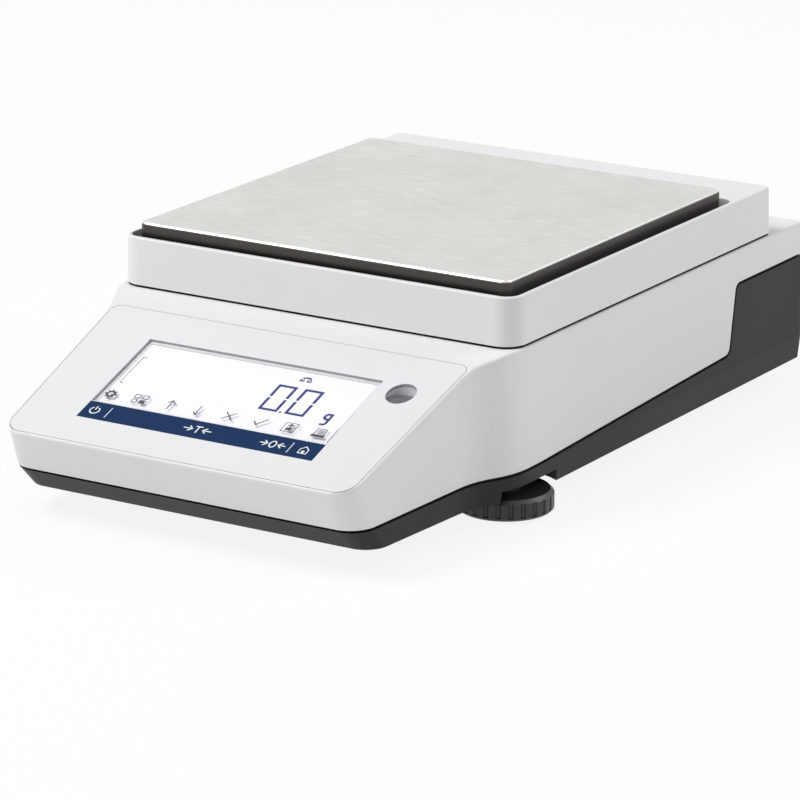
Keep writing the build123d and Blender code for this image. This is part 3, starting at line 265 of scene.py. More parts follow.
def moulded(
    name,
    tone,
    roughness,
    grain,
    relief,
    cloud=60 * MM,
    tone_range=0.03,
    ior=1.5,
    coat=0.0,
    specular=0.5,
    edge=None,
):
    """Moulded plastic or rubber: a fine spark-eroded grain, and a slow drift of tone and gloss.

    grain is the distance between the grain's peaks, relief its height, and cloud the width of the drift's
    patches, all in metres. Real grains of about 0.1 mm are too fine to show, so they are drawn at 0.3 mm or
    more. tone_range is how far the tone drifts to either side, as a share. edge is the colour of the sides
    of a plate that lies in the console's slope, painted darker grey as the shade along the window's recess.
    """
    gloss_drift = 0.04
    material, tree = empty_material(name)
    place = add(tree, "ShaderNodeTexCoord").outputs["Object"]
    fine = add(tree, "ShaderNodeTexNoise", {"Vector": place, "Scale": 1 / grain, "Detail": 2.0})
    slow = add(tree, "ShaderNodeTexNoise", {"Vector": place, "Scale": 1 / cloud, "Detail": 2.0})
    tones = add(tree, "ShaderNodeValToRGB", {"Fac": slow.outputs["Fac"]})
    tones.color_ramp.elements[0].color = toned(tone, 1 - tone_range)
    tones.color_ramp.elements[1].color = toned(tone, 1 + tone_range)
    gloss = add(
        tree,
        "ShaderNodeMapRange",
        {
            "Value": slow.outputs["Fac"],
            "To Min": roughness - gloss_drift,
            "To Max": roughness + gloss_drift,
        },
    )
    bump = add(tree, "ShaderNodeBump", {"Height": fine.outputs["Fac"], "Distance": relief, "Strength": 0.6})
    surface = tones.outputs["Color"]
    if edge is not None:
        # Painted shade: the plate's sides along the window's recess get the darker edge colour.
        sides = turned_away(tree, OUTWARD, *PLATE_SHADE_SIDES)
        mixed = add(tree, "ShaderNodeMix", {"Factor": sides, 6: surface, 7: edge}, data_type="RGBA")
        surface = mixed.outputs[2]
    shader = add(
        tree,
        "ShaderNodeBsdfPrincipled",
        {
            "Base Color": surface,
            "Roughness": gloss.outputs["Result"],
            "Normal": bump.outputs["Normal"],
            "IOR": ior,
            "Specular IOR Level": specular,
            "Coat Weight": coat,
            "Coat Roughness": 0.2,
        },
    )
    add(tree, "ShaderNodeOutputMaterial", {"Surface": shader.outputs[0]})
    return material


def brushed(name, tone, roughness, across, along, relief, contrast=0.05, over=None):
    """Metal with brushing lines or tool marks along X.

    across is the distance between lines, along their length and relief their depth, all in metres. Real
    lines about 0.1 mm apart are too fine to show, so they are drawn 0.3 mm apart or more. contrast is how
    far the lines' tone goes to either side, as a share. over, where it is given, takes the tree and the
    lines' colour and returns the colour that the metal gets.
    """
    gloss_drift = 0.05
    material, tree = empty_material(name)
    place = add(tree, "ShaderNodeTexCoord").outputs["Object"]
    stretch = add(tree, "ShaderNodeMapping", {"Vector": place, "Scale": (across / along, 1.0, 1.0)})
    lines = add(
        tree, "ShaderNodeTexNoise", {"Vector": stretch.outputs["Vector"], "Scale": 1 / across, "Detail": 3.0}
    )
    tones = add(tree, "ShaderNodeValToRGB", {"Fac": lines.outputs["Fac"]})
    tones.color_ramp.elements[0].position = 0.3
    tones.color_ramp.elements[0].color = toned(tone, 1 - contrast)
    tones.color_ramp.elements[1].position = 0.7
    tones.color_ramp.elements[1].color = toned(tone, 1 + contrast)
    gloss = add(
        tree,
        "ShaderNodeMapRange",
        {
            "Value": lines.outputs["Fac"],
            "To Min": roughness - gloss_drift,
            "To Max": roughness + gloss_drift,
        },
    )
    bump = add(tree, "ShaderNodeBump", {"Height": lines.outputs["Fac"], "Distance": relief, "Strength": 0.5})
    surface = tones.outputs["Color"]
    if over is not None:
        surface = over(tree, surface)
    shader = add(
        tree,
        "ShaderNodeBsdfPrincipled",
        {
            "Base Color": surface,
            "Roughness": gloss.outputs["Result"],
            "Normal": bump.outputs["Normal"],
            "Metallic": 1.0,
        },
    )
    add(tree, "ShaderNodeOutputMaterial", {"Surface": shader.outputs[0]})
    return material


def clear_cover(name, tint, opacity, roughness, ior):
    """Clear moulded cover: mostly see-through, with its own gloss on top."""
    gloss_drift = 0.04
    material, tree = empty_material(name)
    place = add(tree, "ShaderNodeTexCoord").outputs["Object"]
    haze = add(tree, "ShaderNodeTexNoise", {"Vector": place, "Scale": 1 / (8 * MM), "Detail": 1.0})
    gloss = add(
        tree,
        "ShaderNodeMapRange",
        {"Value": haze.outputs["Fac"], "To Min": roughness, "To Max": roughness + gloss_drift},
    )
    shader = add(
        tree,
        "ShaderNodeBsdfPrincipled",
        {"Base Color": tint, "Alpha": opacity, "Roughness": gloss.outputs["Result"], "IOR": ior},
    )
    add(tree, "ShaderNodeOutputMaterial", {"Surface": shader.outputs[0]})
    return material


def white_abs(finish):
    """White ABS, injection moulded in a spark-eroded tool: matt, with a soft even sheen."""
    return moulded(
        "white_abs_moulded_fine_grain",
        finish.housing,
        roughness=0.42,
        grain=0.5 * MM,
        relief=0.012 * MM,
    )


def charcoal_abs(finish):
    """Charcoal ABS with the same grain: it catches a thin grey light along its edges."""
    return moulded(
        "charcoal_abs_moulded_fine_grain",
        finish.base,
        roughness=0.5,
        grain=0.5 * MM,
        relief=0.02 * MM,
        tone_range=0.06,
        specular=0.25,
    )


def charcoal_nylon(finish):
    """Glass-filled nylon, moulded: a little glossier and more uneven than the base."""
    return moulded(
        "charcoal_nylon_moulded",
        finish.wheel,
        roughness=0.38,
        grain=0.4 * MM,
        relief=0.02 * MM,
        tone_range=0.08,
        ior=1.53,
    )


def front_plate(finish):
    """Polycarbonate front plate, back-printed, with a velvet hard coat: flat and clean."""
    return moulded(
        "polycarbonate_plate_velvet_coat_edge_shade",
        finish.console,
        roughness=0.34,
        grain=0.3 * MM,
        relief=0.004 * MM,
        tone_range=0.01,
        ior=1.58,
        edge=finish.console_edge_shade,
    )


def key_film(finish):
    """Dark blue back-printed polycarbonate film: an even satin blue."""
    return moulded(
        "polycarbonate_film_blue_satin",
        finish.key_strip,
        roughness=0.45,
        grain=0.3 * MM,
        relief=0.004 * MM,
        tone_range=0.04,
        ior=1.58,
        specular=0.06,
    )


def black_rubber(finish):
    """Nitrile rubber, moulded: nearly black, dull, with a soft highlight."""
    return moulded(
        "nitrile_rubber_moulded",
        finish.rubber,
        roughness=0.7,
        grain=0.7 * MM,
        relief=0.03 * MM,
        tone_range=0.12,
        ior=1.52,
    )


def foam_seal_shade(finish):
    """Closed-cell foam rubber, die-cut: dark and dull, as painted shade, so the joint it fills reads as a
    shadow line.
    """
    return moulded(
        "foam_rubber_painted_shade",
        finish.seal_shade,
        roughness=0.8,
        grain=0.6 * MM,
        relief=0.04 * MM,
        tone_range=0.15,
        specular=0.1,
    )


def socket_plastic():
    """Black glass-filled PBT, moulded smooth: an even, slightly shiny black."""
    return moulded(
        "pbt_black_moulded",
        linear("#17181a"),
        roughness=0.4,
        grain=0.4 * MM,
        relief=0.008 * MM,
        tone_range=0.1,
        ior=1.57,
    )


def circuit_board_mask():
    """Glass epoxy board under green solder mask: glossy, with a faint weave."""
    return moulded(
        "fr4_board_green_mask",
        linear("#1c5236"),
        roughness=0.3,
        grain=0.6 * MM,
        relief=0.01 * MM,
        tone_range=0.15,
        coat=0.4,
    )


def cable_jacket():
    """Extruded grey PVC: smooth and slightly waxy."""
    return moulded(
        "pvc_grey_extruded",
        linear("#85878a"),
        roughness=0.45,
        grain=0.8 * MM,
        relief=0.01 * MM,
        tone_range=0.05,
        ior=1.53,
    )


def reflector_plastic():
    """White polycarbonate of the backlight tray, moulded smooth: a bright, clean white."""
    return moulded(
        "polycarbonate_white_moulded",
        linear("#eceae4"),
        roughness=0.35,
        grain=0.6 * MM,
        relief=0.006 * MM,
        ior=1.58,
    )


def gauge_foil():
    """Polyimide foil of the strain gauges: amber and glossy."""
    return moulded(
        "polyimide_foil_gauge",
        linear("#b9782d"),
        roughness=0.25,
        grain=0.3 * MM,
        relief=0.004 * MM,
        tone_range=0.2,
        ior=1.7,
    )


def ink(name, tone, roughness=0.45):
    """Screen-printed ink or a dark segment: flat, with a trace of mottling."""
    return moulded(
        name,
        tone,
        roughness,
        grain=0.3 * MM,
        relief=0.001 * MM,
        cloud=3 * MM,
        tone_range=0.05,
        specular=0.15,
    )


def cast_aluminium(finish):
    """Aluminium, die-cast and blasted: a dull grey metal with a fine sparkle."""
    material, tree = empty_material("aluminium_die_cast_blasted")
    place = add(tree, "ShaderNodeTexCoord").outputs["Object"]
    # Blasting grit of 0.2 mm is drawn at 0.6 mm.
    grit = add(tree, "ShaderNodeTexNoise", {"Vector": place, "Scale": 1 / (0.6 * MM), "Detail": 2.0})
    pits = {"Height": grit.outputs["Fac"], "Distance": 0.03 * MM, "Strength": 0.7}
    bump = add(tree, "ShaderNodeBump", pits)
    gloss = add(tree, "ShaderNodeMapRange", {"Value": grit.outputs["Fac"], "To Min": 0.42, "To Max": 0.58})
    shader = add(
        tree,
        "ShaderNodeBsdfPrincipled",
        {
            "Base Color": finish.casting,
            "Metallic": 1.0,
            "Roughness": gloss.outputs["Result"],
            "Normal": bump.outputs["Normal"],
        },
    )
    add(tree, "ShaderNodeOutputMaterial", {"Surface": shader.outputs[0]})
    return material


def milled_aluminium(finish):
    """Aluminium, face milled: bright, with fine parallel tool marks."""
    return brushed(
        "aluminium_face_milled",
        finish.milled,
        roughness=0.32,
        across=0.5 * MM,
        along=30 * MM,
        relief=0.01 * MM,
    )


def zinc_steel():
    """Steel, zinc plated: a pale metal with a slightly cloudy sheen."""
    return brushed(
        "steel_zinc_plated",
        linear("#b9bcbf"),
        roughness=0.3,
        across=0.7 * MM,
        along=1.5 * MM,
        relief=0.006 * MM,
    )


def tinned_steel():
    """Steel, drawn and tinned, of the socket shells: bright and smooth."""
    return brushed(
        "steel_drawn_tinned",
        linear("#c9cbcc"),
        roughness=0.22,
        across=0.6 * MM,
        along=4 * MM,
        relief=0.004 * MM,
    )


def turned_brass():
    """Brass, turned: warm yellow metal with fine tool marks."""
    return brushed(
        "brass_turned",
        linear("#c9a45a"),
        roughness=0.26,
        across=0.3 * MM,
        along=8 * MM,
        relief=0.008 * MM,
    )


def satin_stainless(finish):
    """Stainless sheet, satin brushed on top; its folded skirt gets a painted dark reflection of the shaded
    well around it.
    """

    def wear_and_skirt_reflection(tree, lines):
        """The lines' colour with clouds from handling, and a painted dark reflection on the skirt's sides.
        """
        place = add(tree, "ShaderNodeTexCoord").outputs["Object"]
        # Handling leaves paler and duller clouds a few centimetres wide.
        clouds = add(tree, "ShaderNodeTexNoise", {"Vector": place, "Scale": 1 / (45 * MM), "Detail": 4.0})
        wear = add(
            tree, "ShaderNodeMapRange", {"Value": clouds.outputs["Fac"], "To Min": 0.88, "To Max": 1.1}
        )
        worn = add(
            tree, "ShaderNodeVectorMath", {0: lines, "Scale": wear.outputs["Result"]}, operation="SCALE"
        )
        # Painted dark reflection: faces that turn down into the skirt get the skirt's dark colour.
        skirt = turned_away(tree, (0, 0, 1), *PAN_REFLECTION_SIDES)
        colours = {"Factor": skirt, 6: worn.outputs["Vector"], 7: finish.pan_skirt_reflection}
        return add(tree, "ShaderNodeMix", colours, data_type="RGBA").outputs[2]

    return brushed(
        "stainless_satin_brushed_painted_skirt_reflection",
        finish.pan,
        roughness=0.36,
        across=0.6 * MM,
        along=12 * MM,
        relief=0.03 * MM,
        contrast=0.14,
        over=wear_and_skirt_reflection,
    )


def hard_coated_window():
    """Acrylic window with a hard coat: clear, with a faint haze."""
    return clear_cover(
        "acrylic_window_hard_coat", linear("#ffffff"), opacity=0.03, roughness=0.16, ior=1.49
    )


def vial_acrylic():
    """Acrylic vial, polished: clear, with a crisp highlight."""
    return clear_cover("acrylic_vial_polished", linear("#909398"), opacity=0.45, roughness=0.08, ior=1.49)


def level_spirit_shade(finish):
    """Spirit in the level: clear, painted grey as the shade of its socket."""
    return clear_cover("level_spirit_painted_shade", finish.vial, opacity=0.85, roughness=0.1, ior=1.36)


def lit_display(finish):
    """Liquid crystal cell over an even white backlight: it glows a little."""
    material, tree = empty_material("liquid_crystal_cell_backlit")
    place = add(tree, "ShaderNodeTexCoord").outputs["Object"]
    drift = add(tree, "ShaderNodeTexNoise", {"Vector": place, "Scale": 1 / (60 * MM), "Detail": 1.0})
    tones = add(tree, "ShaderNodeValToRGB", {"Fac": drift.outputs["Fac"]})
    tones.color_ramp.elements[0].color = toned(finish.display, 0.98)
    tones.color_ramp.elements[1].color = finish.display
    shader = add(
        tree,
        "ShaderNodeBsdfPrincipled",
        {
            "Base Color": tones.outputs["Color"],
            "Roughness": 0.2,
            "Emission Color": tones.outputs["Color"],
            "Emission Strength": 0.12,
        },
    )
    add(tree, "ShaderNodeOutputMaterial", {"Surface": shader.outputs[0]})
    return material


def dress(material, *nodes):
    """Give CAD nodes a material through their own slots."""
    for name in nodes:
        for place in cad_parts[name].material_slots:
            place.material = material


def on_console(x, s, height):
    """Point at x across and s up the slope, at a height over its surface."""
    return CONSOLE + ACROSS * x + UPHILL * s + OUTWARD * height


def arc(x, s, radius, start, end, steps=16):
    """Points of an arc around x, s; angles in degrees."""
    turns = [radians(start + (end - start) * i / steps) for i in range(steps + 1)]
    return [(x + radius * cos(turn), s + radius * sin(turn)) for turn in turns]


def circle(x, s, radius, steps=24):
    """Points of a whole circle."""
    return arc(x, s, radius, 0, 360, steps)[:-1]


def scaled(points, x, s):
    """Move a small drawing, given in millimetres, to its place on the console."""
    return [(x + px * MM, s + ps * MM) for px, ps in points]


def mitre(before, here, after, half):
    """Offset to the left of a line's corner, for a line twice as wide as half."""
    normals = []
    for a, b in ((before, here), (here, after)):
        if a is None or b is None:
            continue
        dx, ds = b[0] - a[0], b[1] - a[1]
        size = hypot(dx, ds)
        normals.append((-ds / size, dx / size))
    nx = sum(n[0] for n in normals) / len(normals)
    ns = sum(n[1] for n in normals) / len(normals)
    share = max(MITRE_LIMIT, nx * nx + ns * ns)
    return nx * half / share, ns * half / share


def skin(bm, rows, closed):
    """Faces of a band whose rows have four corners each; one that isn't closed gets its two ends."""
    pairs = list(zip(rows, rows[1:]))
    if closed:
        pairs.append((rows[-1], rows[0]))
    for first, second in pairs:
        for i in range(4):
            bm.faces.new((first[i], first[(i + 1) % 4], second[(i + 1) % 4], second[i]))
    if not closed:
        bm.faces.new(rows[0])
        bm.faces.new(reversed(rows[-1]))


def stroke(bm, points, width, base=0.0, closed=False):
    """Printed line of even width through the points, standing on a base height."""
    top = base + PRINT_HEIGHT
    count = len(points)
    rows = []
    for i, here in enumerate(points):
        before = points[i - 1] if closed or i else None
        after = points[(i + 1) % count] if closed or i < count - 1 else None
        dx, ds = mitre(before, here, after, width / 2)
        left = (here[0] + dx, here[1] + ds)
        right = (here[0] - dx, here[1] - ds)
        corners = [(*left, top), (*right, top), (*right, base), (*left, base)]
        rows.append([bm.verts.new(on_console(*corner)) for corner in corners])
    skin(bm, rows, closed)


def patch(bm, points, base=0.0, thickness=PRINT_HEIGHT):
    """Filled shape with the given outline, flat in the slope."""
    top = [bm.verts.new(on_console(x, s, base + thickness)) for x, s in points]
    bottom = [bm.verts.new(on_console(x, s, base)) for x, s in points]
    bm.faces.new(top)
    bm.faces.new(reversed(bottom))
    for i in range(len(points)):
        j = (i + 1) % len(points)
        bm.faces.new((top[i], bottom[i], bottom[j], top[j]))


def printed(name, draw, material):
    """Make a piece from a drawing function and set it on the chassis."""
    bm = bmesh.new()
    draw(bm)
    bmesh.ops.recalc_face_normals(bm, faces=bm.faces)
    mesh = bpy.data.meshes.new(name)
    bm.to_mesh(mesh)
    bm.free()
    mesh.materials.append(material)
    piece = bpy.data.objects.new(name, mesh)
    bpy.context.scene.collection.objects.link(piece)
    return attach(piece, "chassis")


def draw_zero(bm, x, s, width, height, line, base):
    """Figure nought as the display shows it: six segments, parted at mid height."""
    half_gap = line * 0.35
    inner = line / 2
    left, right = x + inner, x + width - inner
    low, high = s + inner, s + height - inner
    middle = s + height / 2
    upper = [(left, middle + half_gap), (left, high), (right, high), (right, middle + half_gap)]
    lower = [(left, middle - half_gap), (left, low), (right, low), (right, middle - half_gap)]
    stroke(bm, upper, line, base)
    stroke(bm, lower, line, base)


def draw_gram(bm, x, s, line, base):
    """Small letter g, the unit of the reading."""
    bowl = [(2.6, 4.0), (0.9, 4.0), (0.0, 4.8), (0.0, 6.4), (0.9, 7.2), (2.6, 7.2)]
    stem = [(2.6, 7.6), (2.6, 1.4), (1.9, 0.5), (0.1, 0.5)]
    for points in (bowl, stem):
        stroke(bm, scaled(points, x, s), line, base)


def draw_scale_mark(bm, x, s, line, base):
    """Two-pan scale, the display's mark for plain weighing."""
    stroke(bm, scaled([(-1.7, 1.0), (1.7, 1.0)], x, s), line, base)
    for side in (-1.7, 1.7):
        chains = [(side - 0.9, -0.8), (side, 0.9), (side + 0.9, -0.8)]
        stroke(bm, scaled(chains, x, s), line * THIN, base)
        stroke(bm, scaled([(side - 1.1, -1.1), (side + 1.1, -1.1)], x, s), line, base)
    stroke(bm, scaled([(0.0, 1.7), (0.0, 0.8)], x, s), line, base)


def draw_gear(bm, x, s, line):
    """Settings: a toothed wheel."""
    root, tip = 1.9, 2.7
    stroke(bm, circle(x, s, 1.6 * MM), line * HEAVY, closed=True)
    for tooth in range(8):
        a = tooth * pi / 4
        points = [(root * cos(a), root * sin(a)), (tip * cos(a), tip * sin(a))]
        stroke(bm, scaled(points, x, s), line * HEAVY)


def draw_menu(bm, x, s, line):
    """Applications: two tiles above, a ring and a filled tile below."""
    tile = [(-1.3, -1.1), (1.3, -1.1), (1.3, 1.1), (-1.3, 1.1)]
    aside, above, below = 1.9 * MM, 1.6 * MM, 1.5 * MM
    for side in (-1, 1):
        stroke(bm, scaled(tile, x + side * aside, s + above), line * LIGHT, closed=True)
    stroke(bm, circle(x - aside, s - below, 1.2 * MM, 14), line * LIGHT, closed=True)
    patch(bm, scaled(tile, x + aside, s - below))


def draw_arrow(bm, x, s, line, turn):
    """Arrow up the slope where turn is 1, or down it where it is -1."""
    stroke(bm, scaled([(0, -3.0 * turn), (0, 3.0 * turn)], x, s), line)
    stroke(bm, scaled([(-1.6, 1.2 * turn), (0, 3.0 * turn), (1.6, 1.2 * turn)], x, s), line)


def draw_up(bm, x, s, line):
    """Up."""
    draw_arrow(bm, x, s, line, 1)


def draw_down(bm, x, s, line):
    """Down."""
    draw_arrow(bm, x, s, line, -1)


def draw_cross(bm, x, s, line):
    """Cancel."""
    stroke(bm, scaled([(-2.4, -2.4), (2.4, 2.4)], x, s), line)
    stroke(bm, scaled([(-2.4, 2.4), (2.4, -2.4)], x, s), line)


def draw_tick(bm, x, s, line):
    """Confirm."""
    stroke(bm, scaled([(-2.6, 0.0), (-0.9, -2.0), (2.8, 2.4)], x, s), line * 1.2)


def draw_adjust(bm, x, s, line):
    """Adjust: an arrow that rises from a block, in a frame."""
    edge = [(-2.9, -2.8), (2.9, -2.8), (2.9, 2.8), (-2.9, 2.8)]
    block = [(-1.3, -1.9), (1.3, -1.9), (1.3, -0.2), (-1.3, -0.2)]
    stroke(bm, scaled(edge, x, s), line * 0.7, closed=True)
    patch(bm, scaled(block, x, s))
    stroke(bm, scaled([(0, -0.2), (0, 2.0)], x, s), line * 1.4)
    stroke(bm, scaled([(-1.4, 0.9), (0, 2.1), (1.4, 0.9)], x, s), line)


def draw_printer(bm, x, s, line):
    """Print: a tray with a sheet."""
    tray = [(-3.1, -2.6), (3.1, -2.6), (3.1, -1.1), (-3.1, -1.1)]
    sheet = [(-2.1, -1.1), (-2.1, 2.6), (2.1, 2.6), (2.1, -1.1)]
    patch(bm, scaled(tray, x, s))
    stroke(bm, scaled(sheet, x, s), line * LIGHT)
    for row in (-0.2, 0.7, 1.6):
        stroke(bm, scaled([(-1.3, row), (1.3, row)], x, s), line * LIGHT)


def draw_pointing_pair(bm, x, s, line, reach):
    """The two arrows that point at the sign between them; reach is where they start."""
    for side in (-1, 1):
        tip = side * 2.5
        stroke(bm, scaled([(side * reach, 0), (tip, 0)], x, s), line)
        stroke(bm, scaled([(side * 4.2, 1.6), (tip, 0), (side * 4.2, -1.6)], x, s), line)


def draw_tare(bm, x, s, line):
    """Tare: a T between two arrows."""
    draw_pointing_pair(bm, x, s, line, reach=6.6)
    stroke(bm, scaled([(-1.6, 1.9), (1.6, 1.9)], x, s), line)
    stroke(bm, scaled([(0, 1.9), (0, -2.2)], x, s), line)


def draw_zero_key(bm, x, s, line):
    """Zero: a nought between two arrows."""
    draw_pointing_pair(bm, x, s, line, reach=5.9)
    steps = 16
    turns = [2 * pi * i / steps for i in range(steps)]
    oval = [(1.35 * cos(turn), 2.0 * sin(turn)) for turn in turns]
    stroke(bm, scaled(oval, x, s), line, closed=True)


def draw_power(bm, x, s, line):
    """On and off: an open ring and a bar."""
    stroke(bm, arc(x, s, 2.1 * MM, 125, 415), line)
    stroke(bm, scaled([(0, 0.4), (0, 2.7)], x, s), line)


def draw_home(bm, x, s, line):
    """Home: a small house with its door."""
    house = [(-1.9, -2.2), (1.9, -2.2), (1.9, 0.4), (0, 2.2), (-1.9, 0.4)]
    door = [(-0.6, -2.0), (0.6, -2.0), (0.6, -0.4), (-0.6, -0.4)]
    stroke(bm, scaled(house, x, s), line * LIGHT, closed=True)
    patch(bm, scaled(door, x, s))


def draw_reading(bm):
    """The reading: nought point nought grams, with its weighing mark."""
    marks = bpy.context.scene.balance_marks
    base = -GLASS_DEPTH
    line = marks.digit_stroke
    for x in DIGITS:
        draw_zero(bm, x, DIGIT_FOOT, marks.digit_width, marks.digit_height, line, base)
    point = [(-0.5, -0.5), (0.5, -0.5), (0.5, 0.5), (-0.5, 0.5)]
    patch(bm, scaled(point, *POINT), base)
    draw_gram(bm, *UNIT, line * 0.9, base)
    draw_scale_mark(bm, *SCALE_MARK, line * THIN, base)


def draw_bracket(bm):
    """Thin bracket at the left end of the display."""
    width = 0.3 * MM
    points = [(-51.4, 61.9), (-53.2, 61.9), (-53.2, 43.7), (-51.4, 43.7)]
    stroke(bm, scaled(points, 0, 0), width, -GLASS_DEPTH)


def draw_cell(bm):
    """Liquid crystal cell with its light guide, close under the window."""
    corners = [
        (-CELL_HALF, CELL_LOW),
        (CELL_HALF, CELL_LOW),
        (CELL_HALF, CELL_HIGH),
        (-CELL_HALF, CELL_HIGH),
    ]
    patch(bm, corners, -GLASS_DEPTH - CELL_THICKNESS, CELL_THICKNESS)


def draw_touch_symbols(bm):
    """Row of grey touch symbols along the foot of the window, with a thin line at its end."""
    line = bpy.context.scene.balance_marks.symbol_stroke
    row = (
        (draw_gear, -50.8),
        (draw_menu, -36.5),
        (draw_up, -21.8),
        (draw_down, -8.0),
        (draw_cross, 6.8),
        (draw_tick, 21.6),
        (draw_adjust, 35.7),
        (draw_printer, 49.8),
    )
    for draw, x in row:
        draw(bm, x * MM, SYMBOL_ROW, line)
    stroke(bm, [(END_LINE, s) for s in END_LINE_ENDS], line * THIN)


def draw_key_symbols(bm):
    """White symbols and dividers on the blue strip."""
    line = bpy.context.scene.balance_marks.key_stroke
    row = (
        (draw_power, -51.0, 22.3),
        (draw_tare, -0.9, 22.4),
        (draw_zero_key, 35.0, 22.3),
        (draw_home, 49.7, 22.3),
    )
    for draw, x, s in row:
        draw(bm, x * MM, s * MM, line)
    for x in DIVIDERS:
        stroke(bm, [(x, s) for s in DIVIDER_ENDS], line * THIN)


def surround_outline(inset):
    """Plan of the pan surround's foot, set in: larger corner rounds in front than behind."""
    low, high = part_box("top_cover")
    front, rear = FRONT_ROUND - inset, REAR_ROUND - inset
    points = arc(high.x - FRONT_ROUND, low.y + FRONT_ROUND, front, -90, 0, ROUND_STEPS)
    points += arc(high.x - REAR_ROUND, high.y - REAR_ROUND, rear, 0, 90, ROUND_STEPS)
    points += arc(low.x + REAR_ROUND, high.y - REAR_ROUND, rear, 90, 180, ROUND_STEPS)
    points += arc(low.x + FRONT_ROUND, low.y + FRONT_ROUND, front, 180, 270, ROUND_STEPS)
    return points


def draw_shade_seal(bm):
    """Dark foam ring between the housing's deck and the pan surround, as painted shade in the seam."""
    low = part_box("main_housing")[1].z
    high = low + SEAL_HEIGHT
    rows = []
    for outer, inner in zip(surround_outline(SEAL_INSET), surround_outline(SEAL_INSET + SEAL_WIDTH)):
        corners = [(*outer, low), (*outer, high), (*inner, high), (*inner, low)]
        rows.append([bm.verts.new(corner) for corner in corners])
    skin(bm, rows, closed=True)


class BALANCE_OT_shells(bpy.types.Operator):
    """Finish the housing, the pan surround, the dark foam ring between them as painted shade, and the base
    with its small cover
    """

    bl_idname = "balance.shells"
    bl_label = "Shells"

    def execute(self, context):
        finish = context.scene.balance_finish
        dress(white_abs(finish), "main_housing", "top_cover")
        dress(charcoal_abs(finish), "base_tub", "hook_cover")
        printed("surround_seal_painted_shade", draw_shade_seal, foam_seal_shade(finish))
        return {"FINISHED"}


class BALANCE_OT_pan(bpy.types.Operator):
    """Finish the weighing pan, its support and the bracket that carries them"""

    bl_idname = "balance.pan"
    bl_label = "Pan and support"

    def execute(self, context):
        finish = context.scene.balance_finish
        dress(satin_stainless(finish), "weighing_pan")
        dress(cast_aluminium(finish), "pan_support", "cell_carrier")
        return {"FINISHED"}


class BALANCE_OT_console(bpy.types.Operator):
    """Finish the front plate, the key strip, and the display with its window, tray and cell"""

    bl_idname = "balance.console"
    bl_label = "Console"

    def execute(self, context):
        finish = context.scene.balance_finish
        dress(front_plate(finish), "keypad_overlay")
        dress(key_film(finish), "touch_strip")
        dress(hard_coated_window(), "display_window")
        dress(reflector_plastic(), "display_frame")
        cell = printed("display_cell", draw_cell, lit_display(finish))
        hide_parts("display_glass")
        return {"FINISHED"}


class BALANCE_OT_reading(bpy.types.Operator):
    """Draw the display's reading and its thin bracket"""

    bl_idname = "balance.reading"
    bl_label = "Reading"

    def execute(self, context):
        finish = context.scene.balance_finish
        segments = ink("liquid_crystal_segment_navy", finish.segments, roughness=0.3)
        printed("display_reading", draw_reading, segments)
        thin = ink("liquid_crystal_line_grey", finish.symbols, roughness=0.3)
        printed("display_bracket", draw_bracket, thin)
        return {"FINISHED"}


class BALANCE_OT_symbols(bpy.types.Operator):
    """Print the touch symbols and the symbols of the key strip"""

    bl_idname = "balance.symbols"
    bl_label = "Symbols"

    def execute(self, context):
        finish = context.scene.balance_finish
        grey = ink("screen_ink_grey", finish.symbols)
        printed("touch_symbols", draw_touch_symbols, grey)
        white = ink("screen_ink_white", finish.key_symbols)
        printed("key_symbols", draw_key_symbols, white)
        return {"FINISHED"}


class BALANCE_OT_level(bpy.types.Operator):
    """Finish the bubble level"""

    bl_idname = "balance.level"
    bl_label = "Bubble level"

    def execute(self, context):
        dress(vial_acrylic(), "level_cup")
        dress(level_spirit_shade(context.scene.balance_finish), "level_fluid")
        return {"FINISHED"}


class BALANCE_OT_feet(bpy.types.Operator):
    """Finish the levelling wheels, their inserts and all rubber"""

    bl_idname = "balance.feet"
    bl_label = "Feet"

    def execute(self, context):
        finish = context.scene.balance_finish
        rubber = black_rubber(finish)
        nylon = charcoal_nylon(finish)
        brass = turned_brass()
        for side in ("right", "left"):
            dress(nylon, side + "_foot_wheel")
            dress(rubber, side + "_foot_pad", side + "_rear_foot")
            dress(brass, side + "_foot_insert")
        dress(rubber, "pan_buffers")
        return {"FINISHED"}


class BALANCE_OT_works(bpy.types.Operator):
    """Finish the weighing cell, the boards, the cables, the sockets and the screws"""

    bl_idname = "balance.works"
    bl_label = "Works and sockets"

    def execute(self, context):
        milled = milled_aluminium(context.scene.balance_finish)
        dress(milled, "load_cell", "cell_plate", "cell_spacer")
        dress(gauge_foil(), "strain_gauges")
        screws = [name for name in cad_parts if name.endswith("_screws")]
        dress(zinc_steel(), "hook_eye", "hook_pivot", "overload_stops", *screws)
        dress(circuit_board_mask(), "main_board", "display_board")
        dress(cable_jacket(), "display_cable", "cell_cable")
        dress(socket_plastic(), "power_socket")
        dress(tinned_steel(), "serial_socket", "usb_socket")
        return {"FINISHED"}


def camera_pose(stage):
    """Place and turn of the camera, worked out from the stage's angles and distances."""
    az, el = stage.azimuth, stage.elevation
    back = Vector((sin(az) * cos(el), -cos(az) * cos(el), sin(el)))
    right = Vector((cos(az), sin(az), 0))
    up = back.cross(right)
    low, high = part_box("weighing_pan")
    aim = Vector(((low.x + high.x) / 2, (low.y + high.y) / 2, high.z))
    place = aim + back * stage.distance + right * stage.aside + up * stage.upward
    turn = Matrix((right, up, back)).transposed().to_4x4()
    return Matrix.Translation(place) @ turn


